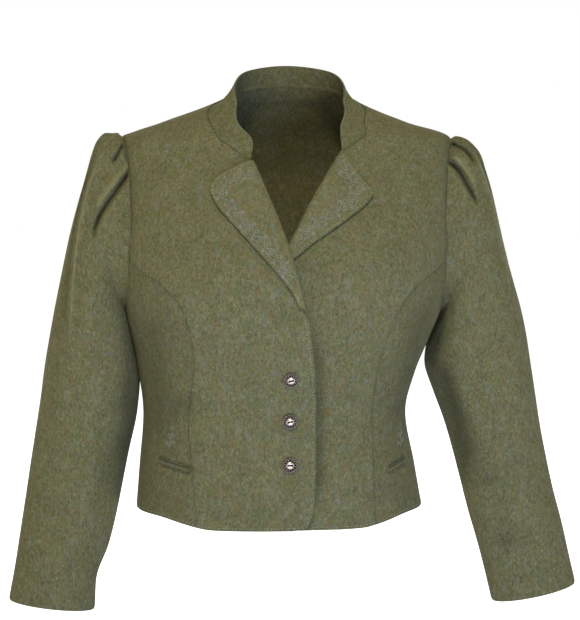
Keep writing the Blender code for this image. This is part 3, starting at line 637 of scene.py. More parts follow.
def sew(maker, places, stitch, slant=0.0, every=1):
    """Stitches between neighbours of the places, in each span or in every second one, turned by slant."""
    spans = list(zip(places, places[1:]))[::every]
    for start in range(0, len(spans), SPANS_AT_ONCE):
        few = bmesh.new()
        sew_few(few, spans[start:start + SPANS_AT_ONCE], stitch, slant)
        mesh = bpy.data.meshes.new("few stitches")
        few.to_mesh(mesh)
        few.free()
        maker.from_mesh(mesh)
        bpy.data.meshes.remove(mesh)


def sew_few(maker, spans, stitch, slant):
    """One padded stitch for each span."""
    for (a, normal), (b, _) in spans:
        along = b - a
        if not 0 < along.length < 6 * stitch.long * MM:
            continue
        along = Matrix.Rotation(slant, 3, normal) @ along.normalized()
        across = normal.cross(along).normalized()
        up = along.cross(across)
        turn = Matrix((along, across, up)).transposed().to_4x4()
        size = Matrix.Diagonal((stitch.long / 2 * MM, stitch.wide / 2 * MM, stitch.high / 2 * MM, 1.0))
        middle = (a + b) / 2 + normal * stitch.high * stitch.proud * MM
        bmesh.ops.create_uvsphere(maker, u_segments=6, v_segments=4, radius=1.0,
                                  matrix=Matrix.Translation(middle) @ turn @ size)


def even_points(line, spacing):
    """Points along a front-view line, evenly spaced."""
    line = np.array(line, float)
    run = run_of(line)
    fine = spline(run, line, np.linspace(0, run[-1], 20 * len(line)))
    run = run_of(fine)
    at = np.linspace(0, run[-1], max(int(round(run[-1] / spacing)), 1) + 1)
    return np.stack([np.interp(at, run, fine[:, 0]), np.interp(at, run, fine[:, 1])], -1)


def form_places(turned, skins):
    """(angle, girth) points laid on the skins along the form's normals."""
    return laid(body(*turned.T), body_normal(*turned.T), skins)


def front_places(points, skins):
    """Front-view (x, z) points laid on the skins along the form's normals."""
    return form_places(on_front(points), skins)


def seam_places(line, spacing, skins):
    """Even places along a line of (angle, girth) points, laid on the skins."""
    run = run_of(body(*line.T))
    return form_places(spline(run, line, np.arange(0, run[-1], spacing)), skins)


def set_in(line, distance):
    """A front-view line moved sideways by a distance, to its left as it runs."""
    line = np.array(line, float)
    along = unit(np.gradient(line, axis=0))
    return line + np.stack([-along[:, 1], along[:, 0]], -1) * distance


# Middle lines of the embroidered bands, front view, inside the top and outer edges of each lapel.
BAND_RIGHT = ((-41, -81), (-58, -86), (-74, -94), (-81, -103), (-75, -117), (-57, -137), (-36, -159),
              (-15, -184), (-2, -203))
BAND_LEFT = ((58, -67), (68, -83), (79, -96), (83, -104), (76, -112), (56, -124), (32, -139), (9, -155))
WAVE_LENGTH, WAVE_HEIGHT = 19.0, 3.2
CURL_RADIUS, CURL_TURNS = 3.6, 1.2
LEAF_LENGTH = 4.8
BORDER, RIPPLE_LENGTH, RIPPLE_HEIGHT = 6.0, 9.5, 0.9


def leaf_lines(root, direction, length=LEAF_LENGTH):
    """A small leaf: a middle vein with short slanting threads on both sides."""
    direction = np.array(direction) / np.linalg.norm(direction)
    across = np.array([-direction[1], direction[0]])
    lines = []
    for share in np.linspace(0.12, 0.9, 6):
        foot = root + direction * length * share
        wide = 0.36 * length * math.sin(math.pi * share) ** 0.8
        for side in (-1, 1):
            lines.append(np.array([foot, foot + direction * wide * 0.7 + across * side * wide]))
    return lines


def vine_lines(band):
    """A running scroll along a band: a waving stem with a curl in each bend and a leaf beside it."""
    middle = even_points(band, 1.0)
    run = run_of(middle)
    along = unit(np.gradient(middle, axis=0))
    across = np.stack([-along[:, 1], along[:, 0]], -1)
    wave = WAVE_HEIGHT * np.sin(2 * math.pi * run / WAVE_LENGTH)
    stem = middle + across * wave[:, None]
    ripple = RIPPLE_HEIGHT * np.sin(2 * math.pi * run / RIPPLE_LENGTH)
    lines = [stem, stem + across * 0.7]
    lines += [middle + across * (ripple + side * BORDER)[:, None] for side in (-1, 1)]
    bends = int(run[-1] / (WAVE_LENGTH / 2))
    for bend in range(bends):
        at = (bend + 0.5) * WAVE_LENGTH / 2
        i = int(np.argmin(np.abs(run - at)))
        side = 1.0 if bend % 2 == 0 else -1.0
        # the curl leaves the stem at the foot of the bend and winds up inside it
        hub = middle[i] - across[i] * side * CURL_RADIUS * 0.55
        turn = np.linspace(0, CURL_TURNS * 2 * math.pi, 34)
        radius = CURL_RADIUS * (1 - 0.82 * turn / turn[-1])
        wind = -side * turn + math.pi * (1.0 if side > 0 else 0.0)
        curl = (hub + along[i] * (radius * np.cos(wind))[:, None]
                + across[i] * (radius * np.sin(wind))[:, None])
        lines += [curl, hub + (curl - hub) * 0.86]
        lines += leaf_lines(middle[i] + across[i] * side * (WAVE_HEIGHT + 0.8),
                            across[i] * side + along[i] * 0.5)
    return lines


# Sprigs above the pockets: a stalk with leaves in front view.
SPRIG_HEIGHT = 25.5
SPRIG_RIGHT, SPRIG_LEFT = (-145.5, -416.5), (143.0, -421.5)


def sprig_lines(x, z):
    """A small upright sprig: a bent stalk, two low leaves, two high leaves and one at the tip."""
    stalk = np.array([(x + 1.5 * math.sin(t * 2.4), z + SPRIG_HEIGHT * t) for t in np.linspace(0, 0.8, 10)])
    lines = [stalk]
    for share, lean in ((1, -1.1), (2, 1.1), (5, -0.8), (6, 0.8), (9, 0.05)):
        lines += leaf_lines(stalk[share], (lean, 1.0), 7.4)
    return lines


# ------------------------------------------------------------------ materials
def linear(colour):
    """An sRGB byte colour as a linear one."""
    return tuple(((c / 255 + 0.055) / 1.055) ** 2.4 for c in colour) + (1.0,)


class Wire:
    """A shader socket in an expression; each operator adds a Math node."""

    def __init__(self, finish, socket):
        self.finish, self.socket = finish, socket

    def _math(self, operation, first, second):
        return self.finish.node("Math", {"operation": operation}, {0: first, 1: second})

    def __add__(self, other):
        return self._math("ADD", self, other)

    def __sub__(self, other):
        return self._math("SUBTRACT", self, other)

    def __rsub__(self, other):
        return self._math("SUBTRACT", other, self)

    def __mul__(self, other):
        return self._math("MULTIPLY", self, other)

    __radd__, __rmul__ = __add__, __mul__

    def over(self, low, high):
        """0 at or under low, 1 at or over high, soft between."""
        settings = {"interpolation_type": "SMOOTHSTEP"}
        return self.finish.node("MapRange", settings, {"Value": self, "From Min": low, "From Max": high})


class Finish:
    """One material and the nodes behind its shader."""

    def __init__(self, name, roughness, metallic=0.0, **constants):
        self.material = bpy.data.materials.new(name)
        self.material.use_nodes = True
        self.tree = self.material.node_tree
        self.shader = self.tree.nodes["Principled BSDF"]
        self.set(Roughness=roughness, Metallic=metallic)
        for key, value in constants.items():
            self.shader.inputs[key.replace("_", " ")].default_value = value
        self.spot = self.node("TexCoord", output="Object")

    def plug(self, value, socket):
        """Join a wire to a socket, or set the socket's value."""
        if isinstance(value, Wire):
            self.tree.links.new(value.socket, socket)
        else:
            socket.default_value = value

    def node(self, kind, settings=None, sockets=None, output=0):
        """Add a node with its own settings and the values or wires of its sockets; return one output."""
        made = self.tree.nodes.new("ShaderNode" + kind)
        for key, value in (settings or {}).items():
            if key == "stops":
                ramp = made.color_ramp
                while len(ramp.elements) < len(value):
                    ramp.elements.new(0.5)
                for element, (place, colour) in zip(ramp.elements, value):
                    element.position, element.color = place, colour
            else:
                setattr(made, key, value)
        for key, value in (sockets or {}).items():
            self.plug(value, made.inputs[key])
        return Wire(self, made.outputs[output])

    def set(self, **sockets):
        """Plug values or wires into the shader's sockets."""
        for key, value in sockets.items():
            self.plug(value, self.shader.inputs[key.replace("_", " ")])

    def stretched(self, x, y, z):
        """Object coordinates scaled along each axis."""
        return self.node("Mapping", {"vector_type": "POINT"}, {"Vector": self.spot, "Scale": (x, y, z)})

    def noise(self, where, scale, detail=2.0, roughness=0.5):
        """Solid noise, 0 to 1."""
        return self.node("TexNoise", None, {"Vector": where, "Scale": scale, "Detail": detail,
                                            "Roughness": roughness})

    def mix(self, share, first, second):
        """The first colour with a share of the second over it."""
        settings = {"data_type": "RGBA", "blend_type": "MIX"}
        return self.node("Mix", settings, {0: share, 6: first, 7: second}, output=2)

    def bump(self, height, distance, strength=1.0, under=None):
        """A normal pressed up by a height, over the normal under it if there is one."""
        sockets = {"Height": height, "Distance": distance, "Strength": strength}
        if under is not None:
            sockets["Normal"] = under
        return self.node("Bump", None, sockets)


# The melange, coarse patches first and then single fibres: the scale of the pattern, where it comes on and is
# full, its share, and the colour of its fibres.
MELANGE = (
    (120.0, 0.48, 0.66, 0.34, "moss"), (135.0, 0.50, 0.68, 0.32, "rust"), (105.0, 0.52, 0.70, 0.28, "ash"),
    (420.0, 0.60, 0.72, 0.42, "moss"), (510.0, 0.62, 0.72, 0.40, "rust"), (640.0, 0.62, 0.74, 0.55, "straw"),
    (760.0, 0.60, 0.72, 0.45, "ash"),
)
# Relief in millimetres at which the painted shade of a trough is darkest and gone, and the painted highlight
# of a ridge is gone and lightest.
TROUGH_SHADE, RIDGE_HIGHLIGHT = (-8.0, -0.4), (1.9, 4.2)


# The shade argument scales the wool's colour for one piece, so the pieces are lighter and darker copies of
# one wool; the darker side panels and welts are painted shade.
def loden(name, shade):
    """Fulled wool: a felted melange of olive, brown and grey fibres with small bright flecks."""
    colours = bpy.context.scene.jacket_cloth
    finish = Finish(name, 0.9, Sheen_Weight=0.12, Sheen_Roughness=0.45, Specular_IOR_Level=0.15)
    finish.shader.inputs["Sheen Tint"].default_value = linear((190, 188, 160))
    down = finish.stretched(1.0, 1.0, 0.62)
    fibre = finish.noise(down, 900.0, 3.0, 0.65)
    clump = finish.noise(down, 330.0, 2.0)
    cloud = finish.noise(finish.spot, 46.0, 2.0)
    tone = fibre * 0.5 + clump * 0.38 + cloud * 0.12
    base = [shade * c for c in colours.wool]
    dark, light = [c * 0.42 for c in base] + [1.0], [min(c * 1.75, 1.0) for c in base] + [1.0]
    stops = ((0.33, dark), (0.50, base + [1.0]), (0.68, light))
    colour = finish.node("ValToRGB", {"stops": stops}, {0: tone})
    relief = finish.node("Attribute", {"attribute_name": "relief"}, output="Fac")
    for scale, low, high, share, fibres in MELANGE:
        field = finish.noise(finish.stretched(1.0, 1.0, 0.55), scale + 3.0 * len(name), 2.0)
        tinted = [shade * c for c in getattr(colours, fibres)] + [1.0]
        colour = finish.mix(field.over(low, high) * share, colour, tinted)
    # Painted shade darkens the wool in troughs and seam dips, and a painted highlight lightens it on ridges,
    # both read from the relief.
    sunk, raised = 1.0 - relief.over(*TROUGH_SHADE), relief.over(*RIDGE_HIGHLIGHT)
    colour = finish.mix(sunk * 0.72, colour, [c * 0.3 for c in base] + [1.0])
    colour = finish.mix(raised * 0.5, colour, [min(c * 1.9, 1.0) for c in base] + [1.0])
    nap = finish.noise(down, 1500.0, 2.0, 0.7)
    felt = finish.bump(clump, 0.0009, 0.55)
    finish.set(Base_Color=colour, Roughness=0.84 + fibre * 0.14,
               Normal=finish.bump(nap * 0.6 + fibre * 0.4, 0.0005, 0.6, under=felt))
    return finish.material


def thread(name, colour, roughness, sunk=0.0):
    """Twisted thread: fine slanting plies on a plain colour, sunk in the nap of the wool in places."""
    finish = Finish(name, roughness, Sheen_Weight=0.3, Sheen_Roughness=0.4)
    twist = finish.noise(finish.stretched(1.0, 1.0, 2.2), 1400.0, 1.0)
    dark, light = [c * 0.62 for c in colour] + [1.0], [min(c * 1.3, 1.0) for c in colour] + [1.0]
    shade = finish.node("ValToRGB", {"stops": ((0.36, dark), (0.66, light))}, {0: twist})
    if sunk:
        wool = [c * 1.05 for c in bpy.context.scene.jacket_cloth.wool] + [1.0]
        places = finish.noise(finish.spot, 260.0, 2.0).over(0.42, 0.62)
        shade = finish.mix(places * sunk, shade, wool)
    finish.set(Base_Color=shade, Normal=finish.bump(twist, 0.0002, 0.5))
    return finish.material


# Radii on a button in millimetres: where the dome's shine ends, and where the raised rim starts and is full.
DOME_EDGE, RIM_START, RIM_FULL = (4.3, 4.8), 6.8, 7.6


def old_silver(name):
    """Cast silvered metal, rubbed bright on the dome and brown with tarnish in the hollow around it."""
    colours = bpy.context.scene.jacket_trim
    finish = Finish(name, 0.3, 1.0)
    # the attribute is the distance from the button's axis in millimetres
    radius = finish.node("Attribute", {"attribute_name": "turned"}, output="Fac")
    raised = finish.node("NewGeometry", output="Pointiness").over(0.49, 0.57)
    spots = finish.noise(finish.spot, 900.0, 3.0, 0.6)
    rim = radius.over(RIM_START, RIM_FULL)
    rubbed = (1.0 - radius.over(*DOME_EDGE)) + raised * (0.26 + rim * 0.12)
    tarnish = 1.0 - (rubbed - spots.over(0.45, 0.7) * 0.25)
    tarnish = tarnish.over(0.0, 1.0)
    colour = finish.mix(tarnish, list(colours.silver) + [1.0], list(colours.tarnish) + [1.0])
    finish.set(Base_Color=colour, Roughness=0.40 + tarnish * 0.25,
               Metallic=0.8 - tarnish * 0.35, Normal=finish.bump(spots, 0.00012, 0.4))
    return finish.material


# ------------------------------------------------------------------ what a user may change
def colour_choice(name, description, colour):
    """A colour setting whose default is given in sRGB bytes."""
    return bpy.props.FloatVectorProperty(name=name, description=description, subtype="COLOR", size=3,
                                         min=0.0, max=1.0, default=linear(colour)[:3])


class JacketCloth(bpy.types.PropertyGroup):
    """The wool."""
    thickness: bpy.props.FloatProperty(
        name="Thickness", description="Thickness of the fulled wool", default=0.002, min=0.001, max=0.004,
        unit="LENGTH")
    fold_strength: bpy.props.FloatProperty(
        name="Folds", description="How deep the soft folds are", default=1.0, min=0.0, max=2.0,
        subtype="FACTOR")
    wool: colour_choice("Wool", "Main olive of the melange", (102, 99, 66))
    moss: colour_choice("Moss", "Green fibres in the melange", (84, 100, 42))
    rust: colour_choice("Rust", "Brown fibres in the melange", (122, 92, 54))
    ash: colour_choice("Ash", "Grey fibres in the melange", (118, 122, 112))
    straw: colour_choice("Straw", "Light fibres in the melange", (165, 156, 102))


class JacketTrim(bpy.types.PropertyGroup):
    """Threads and buttons."""
    stitch_length: bpy.props.FloatProperty(
        name="Stitch Length", description="Length of one topstitch", default=0.0026, min=0.001, max=0.006,
        unit="LENGTH")
    stitch_inset: bpy.props.FloatProperty(
        name="Stitch Inset", description="Distance of the topstitching from the edge", default=0.0036,
        min=0.002, max=0.012, unit="LENGTH")
    sewing_thread: colour_choice("Sewing Thread", "Colour of the topstitching", (150, 148, 122))
    # Dark thread sunk in the seams, as painted shade for their ditches.
    seam_thread: colour_choice("Seam Thread", "Colour of the thread sunk in the seams", (62, 60, 40))
    # Dark thread laid along the welts as painted shade for the gaps at their mouths and lower seams.
    dark_thread: colour_choice("Dark Thread", "Colour of the stitches along the pocket welts", (40, 40, 30))
    silk: colour_choice("Silk", "Colour of the embroidery", (144, 146, 134))
    silver: colour_choice("Silver", "Colour of the button metal", (238, 226, 204))
    tarnish: colour_choice("Tarnish", "Colour in the hollows of the buttons", (66, 42, 30))


class JacketStage(bpy.types.PropertyGroup):
    """Floor, light and camera."""
    floor_drop: bpy.props.FloatProperty(
        name="Floor", description="Height of the floor", default=-0.90, min=-2.0, max=-0.65, unit="LENGTH")
    floor_colour: colour_choice("Floor Colour", "Colour of the floor", (250, 250, 250))
    light: bpy.props.FloatProperty(
        name="Light", description="Strength of the soft lights", default=1.0, min=0.1, max=4.0,
        subtype="FACTOR")


# The folds and creases pressed into the body and the sleeves (see Fold). Through the relief, the finish
# paints shade in their troughs and a highlight on their ridges; the broad troughs at the sides of the body
# and along the inner sleeves darken those sides as painted shade.
BODY_FOLDS = (
    Fold(-1, 24, 30, -4.2, ((-178, -222), (-170, -262), (-165, -318), (-158, -365), (-160, -430))),
    Fold(-1, 22, 28, -4.6, ((174, -210), (168, -245), (160, -285), (155, -335), (155, -385), (158, -440))),
    Fold(-1, 9, 14, 1.6, ((-140, -395), (-118, -385), (-95, -383))),
    Fold(-1, 10, 16, -1.6, ((-150, -372), (-122, -366), (-92, -368))),
    Fold(-1, 10, 14, 1.5, ((150, -392), (126, -386), (100, -388))),
    Fold(-1, 9, 15, -1.6, ((148, -372), (118, -370), (84, -374))),
    Fold(-1, 14, 22, -1.8, ((-60, -262), (-52, -310), (-60, -352))),
    Fold(-1, 16, 24, 1.6, ((92, -262), (70, -312), (62, -366))),
    Fold(1, 12, 20, -4.8, ((-160, -240), (-146, -290), (-150, -345))),
    Fold(1, 14, 20, -5.1, ((162, -236), (150, -286), (146, -350))),
    Fold(1, 9, 15, -3.6, ((-118, -388), (-60, -396), (0, -391), (66, -397), (112, -386))),
    Fold(1, 8, 14, 3.0, ((-124, -372), (-52, -378), (8, -374), (70, -380), (118, -370))),
    Fold(1, 9, 13, -2.7, ((-104, -354), (-46, -360), (18, -352))),
    Fold(1, 18, 26, 2.7, ((-72, -120), (-66, -200), (-56, -300))),
    Fold(1, 18, 26, 2.4, ((80, -116), (72, -210), (60, -296))),
)
# The left front is pressed in along the edge that laps over it, and the trough is darkened there as the
# painted shadow of that edge.
EDGE_FOLD = Fold(-1, 4, 10, -4.6, ((14, -236), (22, -262), (29, -300), (33, -345), (34.5, -390),
                                   (33.5, -435), (31.5, -470), (29, -505)))
SLEEVE_RIGHT_FOLDS = (
    Fold(-1, 1.5, 2.4, -7.5, ((-190, -50), (-200, -56), (-206, -63), (-211, -71))),
    Fold(-1, 5.0, 2.5, 2.6, ((-200, -49), (-209, -57), (-218, -70))),
    Fold(-1, 1.6, 2.8, -11.0, ((-180, -67), (-186, -75), (-195, -87), (-207, -103), (-217, -115),
                               (-228, -132), (-234, -148), (-237, -162))),
    Fold(-1, 9.0, 3.0, 4.0, ((-184, -66), (-200, -83), (-213, -100), (-224, -114), (-236, -132))),
    Fold(-1, 1.4, 2.6, 4.8, ((-214, -34), (-221, -46), (-228, -67), (-236, -89), (-242, -107), (-251, -146),
                             (-255, -172), (-260, -214), (-263, -250), (-267, -292))),
    Fold(-1, 8.0, 1.4, -5.2, ((-219, -36), (-227, -49), (-235, -69), (-243, -91), (-249, -109), (-258, -147),
                              (-262, -173), (-267, -215), (-270, -251), (-274, -293))),
    Fold(-1, 9, 14, -2.2, ((-216, -180), (-224, -240), (-228, -300))),
    Fold(-1, 14, 15, -4.6, ((-196, -190), (-194, -250), (-186, -310), (-188, -370), (-198, -440),
                            (-208, -500))),
    Fold(-1, 8, 12, 1.8, ((-262, -250), (-270, -320), (-276, -390))),
    Fold(-1, 7, 11, -2.6, ((-190, -352), (-214, -372), (-244, -380))),
    Fold(-1, 7, 10, 2.2, ((-196, -382), (-222, -396), (-256, -398))),
    Fold(-1, 10, 14, -2.4, ((-214, -400), (-226, -460), (-236, -520))),
    Fold(-1, 12, 18, 1.8, ((-268, -430), (-280, -500), (-292, -570))),
    Fold(-1, 6, 9, -1.6, ((-226, -556), (-252, -566), (-286, -560))),
    Fold(1, 9, 13, -3.0, ((-204, -300), (-226, -340), (-258, -352))),
    Fold(1, 7, 11, 2.4, ((-196, -336), (-226, -366), (-262, -374))),
    Fold(1, 8, 12, -3.0, ((-200, -372), (-232, -394), (-272, -392))),
    Fold(1, 8, 12, 2.0, ((-214, -410), (-240, -424), (-276, -420))),
    Fold(1, 12, 18, -2.2, ((-236, -150), (-246, -210), (-250, -280))),
    Fold(1, 11, 16, -1.8, ((-250, -450), (-266, -520), (-276, -580))),
)
SLEEVE_LEFT_FOLDS = (
    Fold(-1, 2.4, 1.5, -7.5, ((203, -46), (209, -48), (218, -51), (226, -55), (233, -63), (238, -76))),
    Fold(-1, 2.8, 1.6, -11.0, ((198, -69), (206, -71), (212, -75), (218, -82), (224, -94), (229, -103),
                               (235, -113), (239, -124))),
    Fold(-1, 3.0, 8.0, 4.0, ((204, -62), (214, -68), (223, -79), (230, -90), (237, -104))),
    Fold(-1, 2.6, 1.4, 4.8, ((210, -43), (222, -49), (236, -58), (247, -86), (257, -117), (267, -156),
                             (276, -191), (281, -214), (288, -250))),
    Fold(-1, 1.4, 8.0, -5.2, ((224, -44), (240, -55), (253, -84), (264, -116), (274, -155), (283, -190),
                              (288, -214), (295, -250))),
    Fold(-1, 9, 13, -2.0, ((232, -150), (238, -220), (246, -300))),
    Fold(-1, 14, 15, -4.4, ((194, -190), (191, -250), (188, -310), (200, -360), (213, -410), (224, -470),
                            (234, -520))),
    Fold(-1, 12, 8, 1.8, ((282, -240), (292, -310), (302, -380))),
    Fold(-1, 8, 12, -3.4, ((190, -318), (206, -356), (224, -410), (232, -462))),
    Fold(-1, 7, 11, 2.2, ((206, -330), (226, -372), (242, -420))),
    Fold(-1, 6, 11, -4.6, ((232, -474), (258, -466), (290, -452), (326, -440))),
    Fold(-1, 9, 15, -2.8, ((236, -562), (262, -553), (292, -541), (324, -531), (345, -526))),
    Fold(-1, 12, 18, 1.6, ((300, -430), (314, -500), (330, -570))),
    Fold(-1, 10, 15, -1.8, ((262, -470), (274, -530), (288, -590))),
    Fold(1, 9, 13, -3.0, ((214, -300), (236, -336), (272, -350))),
    Fold(1, 8, 11, 2.4, ((206, -338), (238, -368), (280, -376))),
    Fold(1, 8, 12, -3.0, ((216, -378), (248, -398), (292, -396))),
    Fold(1, 8, 12, 1.8, ((230, -416), (258, -430), (300, -424))),
    Fold(1, 12, 18, -2.2, ((240, -150), (250, -214), (262, -284))),
    Fold(1, 11, 16, -1.8, ((268, -452), (288, -520), (302, -584))),
)


def panel(name, grid, finish, at_rows, at_columns, seams=(), lift=None, folds=()):
    """Build one piece of the body from its coarse grid; lift gives its height over the form."""
    fine = refined(grid, at_rows, at_columns)
    angle, girth = fine[..., 0], fine[..., 1]
    flat = body(angle, girth)
    raised = np.zeros(angle.shape) if lift is None else lift(flat)
    raised = raised - seam_dip(flat, seams)
    normal = body_normal(angle, girth)
    smooth_cloth = flat + normal * raised[..., None]
    points = folded(smooth_cloth, normal, folds)
    # The relief carries the folds' heights and the seams' dips, which the finish turns into painted shade and
    # highlight.
    relief = ((points - smooth_cloth) * normal).sum(axis=-1) - SEAM_SHADE * seam_dip(flat, seams)
    points = tip_raised(closed_up(points, seams))
    thickness = bpy.context.scene.jacket_cloth.thickness / MM
    return cloth(name, points, normal, finish, thickness, relief=relief)


def put_on(piece, nodes):
    """Attach a finished sheet of cloth to the root and hide the nodes that it stands for."""
    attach(piece, "root")
    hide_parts(*nodes)


class JACKET_OT_fronts(bpy.types.Operator):
    """Build both fronts, the right one buttoned over the left"""
    bl_idname = "jacket.fronts"
    bl_label = "Fronts"

    def execute(self, context):
        finish = loden("Front wool", 1.04)
        for name, way, edge, roll, corner, neck, seams in (
                ("front_right", 1, EDGE_RIGHT, ROLL_RIGHT, RIGHT_CORNER, NECK_SEAM_RIGHT, ("last", "high")),
                ("front_left", -1, EDGE_LEFT, ROLL_LEFT, LEFT_CORNER, NECK_SEAM_LEFT, ("last", "high"))):
            grid = front_grid(way, edge, roll, corner, neck)
            piece = panel(name + "_cloth", grid, finish, steps(len(grid) - 1, 4),
                          steps(12, 4), seams, edge_spring if way > 0 else under,
                          BODY_FOLDS if way > 0 else BODY_FOLDS + (EDGE_FOLD,))
            put_on(piece, [name])
        return {"FINISHED"}


class JACKET_OT_side_fronts(bpy.types.Operator):
    """Build the two panels between the princess seams and the side seams"""
    bl_idname = "jacket.side_fronts"
    bl_label = "Side Fronts"

    def execute(self, context):
        # The side panels get a darker copy of the wool, as painted shade where the body turns away.
        finish = loden("Side wool", 0.95)
        for name, side in (("side_front_left", 1.0), ("side_front_right", -1.0)):
            grid = side_front_grid(side)
            piece = panel(name + "_cloth", grid, finish, steps(len(grid) - 1, 4),
                          steps(grid.shape[1] - 1, 3), ("first", "last", "high"), None, BODY_FOLDS)
            put_on(piece, [name])
        return {"FINISHED"}


class JACKET_OT_back(bpy.types.Operator):
    """Build the back, from side seam to side seam and up to the shoulder and neck seams"""
    bl_idname = "jacket.back"
    bl_label = "Back"

    def execute(self, context):
        grid = back_grid()
        piece = panel("back_cloth", grid, loden("Back wool", 1.0), steps(len(grid) - 1, 3), steps(20, 3),
                      ("first", "last", "high"), None, BODY_FOLDS)
        put_on(piece, ["back"])
        return {"FINISHED"}


# The part of a sleeve beside the body that is pressed in: from below it, over a run, to above it, over a run.
PRESS_LOW_Z, PRESS_LOW_RUN, PRESS_HIGH_Z, PRESS_HIGH_RUN = -365, 105, -225, 30
# Rows below the armhole over which the sleeve gets painted shade beside its seam, and rows over which its
# folds come in.
SCYE_SHADE_ROWS, FOLD_START_ROWS = 0.12, 1.2


def pressed_in(points, normal, side, at_rows, depth):
    """A sleeve pushed against the side of the body under the arm."""
    inner = np.clip(-side * normal[..., 0], 0, 1) * smooth(at_rows - 0.5)[:, None]
    z = points[..., 2]
    high = smooth((z - PRESS_LOW_Z) / PRESS_LOW_RUN) * smooth((PRESS_HIGH_Z - z) / PRESS_HIGH_RUN)
    return points - np.array([side * depth, 0, 0]) * (inner * high)[..., None]


class JACKET_OT_sleeves(bpy.types.Operator):
    """Build both sleeves, with the pleats and creases of their heads"""
    bl_idname = "jacket.sleeves"
    bl_label = "Sleeves"

    def execute(self, context):
        at_rows, at_columns = uneven((1, 2), (9, 7), (20, 3)), uneven((8, 8), (19, 3), (28, 3))
        for name, side, sections, folds, press in (
                ("sleeve_right", -1, SLEEVE_RIGHT, SLEEVE_RIGHT_FOLDS, 6.2),
                ("sleeve_left", 1, SLEEVE_LEFT, SLEEVE_LEFT_FOLDS, 1.0)):
            points = refined_ring(sleeve_tube(side, sections), at_rows, at_columns)
            middle = points[:, :-1].mean(axis=1, keepdims=True)
            normal = grid_normals(points, points - middle, ring=True)
            pushed = folded(points, normal, folds)
            push = (pushed - points) * smooth(at_rows / FOLD_START_ROWS)[:, None, None]
            # Painted shade beside the armhole seam and on the folds, carried in the relief.
            scye = np.exp(-(at_rows / SCYE_SHADE_ROWS) ** 2)[:, None]
            relief = (push * normal).sum(axis=-1) - SEAM_SHADE * scye
            points = points + push
            points = tip_raised(pressed_in(points, normal, side, at_rows, press))
            piece = cloth(name + "_cloth", points, normal, loden("Wool of " + name, 1.02),
                          context.scene.jacket_cloth.thickness / MM, ring=True, relief=relief)
            put_on(piece, [name])
        return {"FINISHED"}


class JACKET_OT_collar(bpy.types.Operator):
    """Build the stand collar"""
    bl_idname = "jacket.collar"
    bl_label = "Collar"

    def execute(self, context):
        grid = collar_grid()
        piece = panel("collar_cloth", grid, loden("Collar wool", 0.98), steps(3, 5),
                      steps(grid.shape[1] - 1, 4), ("low",))
        put_on(piece, ["collar"])
        return {"FINISHED"}


LAPEL_SPRING = 1.4       # the turned lapels spring a little off the fronts


class JACKET_OT_lapels(bpy.types.Operator):
    """Build the two turned-back lapels"""
    bl_idname = "jacket.lapels"
    bl_label = "Lapels"

    def execute(self, context):
        finish = loden("Lapel wool", 1.12)
        for name, roll, top, side, flat, area in (
                ("lapel_right", ROLL_RIGHT, LAPEL_TOP_RIGHT, LAPEL_SIDE_RIGHT, (0.064, 0.20), 0.0079),
                ("lapel_left", ROLL_LEFT_SHOWN, LAPEL_TOP_LEFT, LAPEL_SIDE_LEFT, (0.065, 0.163), 0.0061)):
            grid, heights = lapel_grid(roll, top, side)
            at_rows, at_columns = steps(LAPEL_ROWS - 1, 3), steps(len(LAPEL_PROFILE) - 1, 5)
            tall = refined(heights[..., None], at_rows, at_columns)[..., 0]

            def height(flat_points, tall=tall, dips=name == "lapel_left"):
                return tall + LAPEL_SPRING + (under(flat_points) if dips else 0.0)

            piece = panel(name + "_cloth", grid, finish, at_rows, at_columns, (), height)
            put_on(piece, [name])
        return {"FINISHED"}


class JACKET_OT_welts(bpy.types.Operator):
    """Build the narrow welts of the two slanting pockets"""
    bl_idname = "jacket.welts"
    bl_label = "Pocket Welts"

    def execute(self, context):
        # The welts get a darker copy of the wool, as painted shade.
        finish = loden("Welt wool", 0.90)
        welt_shade_stitches = bmesh.new()
        for name, side, top, flat, area in (("welt_left", 1.0, WELT_TOP_LEFT, (0.038, 0.010), 0.00025),
                                            ("welt_right", -1.0, WELT_TOP_RIGHT, (0.049, 0.010), 0.00033)):
            grid = np.array([front_curve([(x, z - drop) for x, z in top], 7) for drop in (0, WELT_DEPTH)])
            fine = refined(on_side(grid, side), steps(1, 6), steps(6, 4))
            share = np.linspace(0, 1, fine.shape[0])[:, None]
            mouth = WELT_RISE - MOUTH_SINK * np.exp(-((share - MOUTH) / MOUTH_WIDTH) ** 2)
            lift = np.broadcast_to(mouth, fine.shape[:2])
            normal = body_normal(fine[..., 0], fine[..., 1])
            points = body(fine[..., 0], fine[..., 1], lift)
            piece = cloth(name + "_cloth", points, normal, finish, WELT_WALL)
            put_on(piece, [name])
            # Dark stitches along the pocket's mouth and lower seam stand in as painted shade for the dark
            # gaps there.
            for drop, wide in ((MOUTH * WELT_DEPTH, 1.3), (WELT_DEPTH - 0.2, 0.9)):
                line = on_side(front_curve([(x, z - drop) for x, z in top], 7), side)
                half = name.removeprefix("welt_")
                skins = skin_of(name + "_cloth", f"side_front_{half}_cloth", f"front_{half}_cloth")
                sew(welt_shade_stitches, seam_places(line, 1.5, skins), Stitch(2.2, wide, 0.6))
        dark = thread("Dark thread", context.scene.jacket_trim.dark_thread, 0.9)
        piece = show("welt_stitching", welt_shade_stitches, dark)
        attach(piece, "root")
        return {"FINISHED"}


# Dark stitches laid in the seams' ditches as their painted shade: the stitch, and the spacing.
SEAM_STITCH, SEAM_SPACING = Stitch(2.6, 0.8, 0.5, 0.1), 2.2


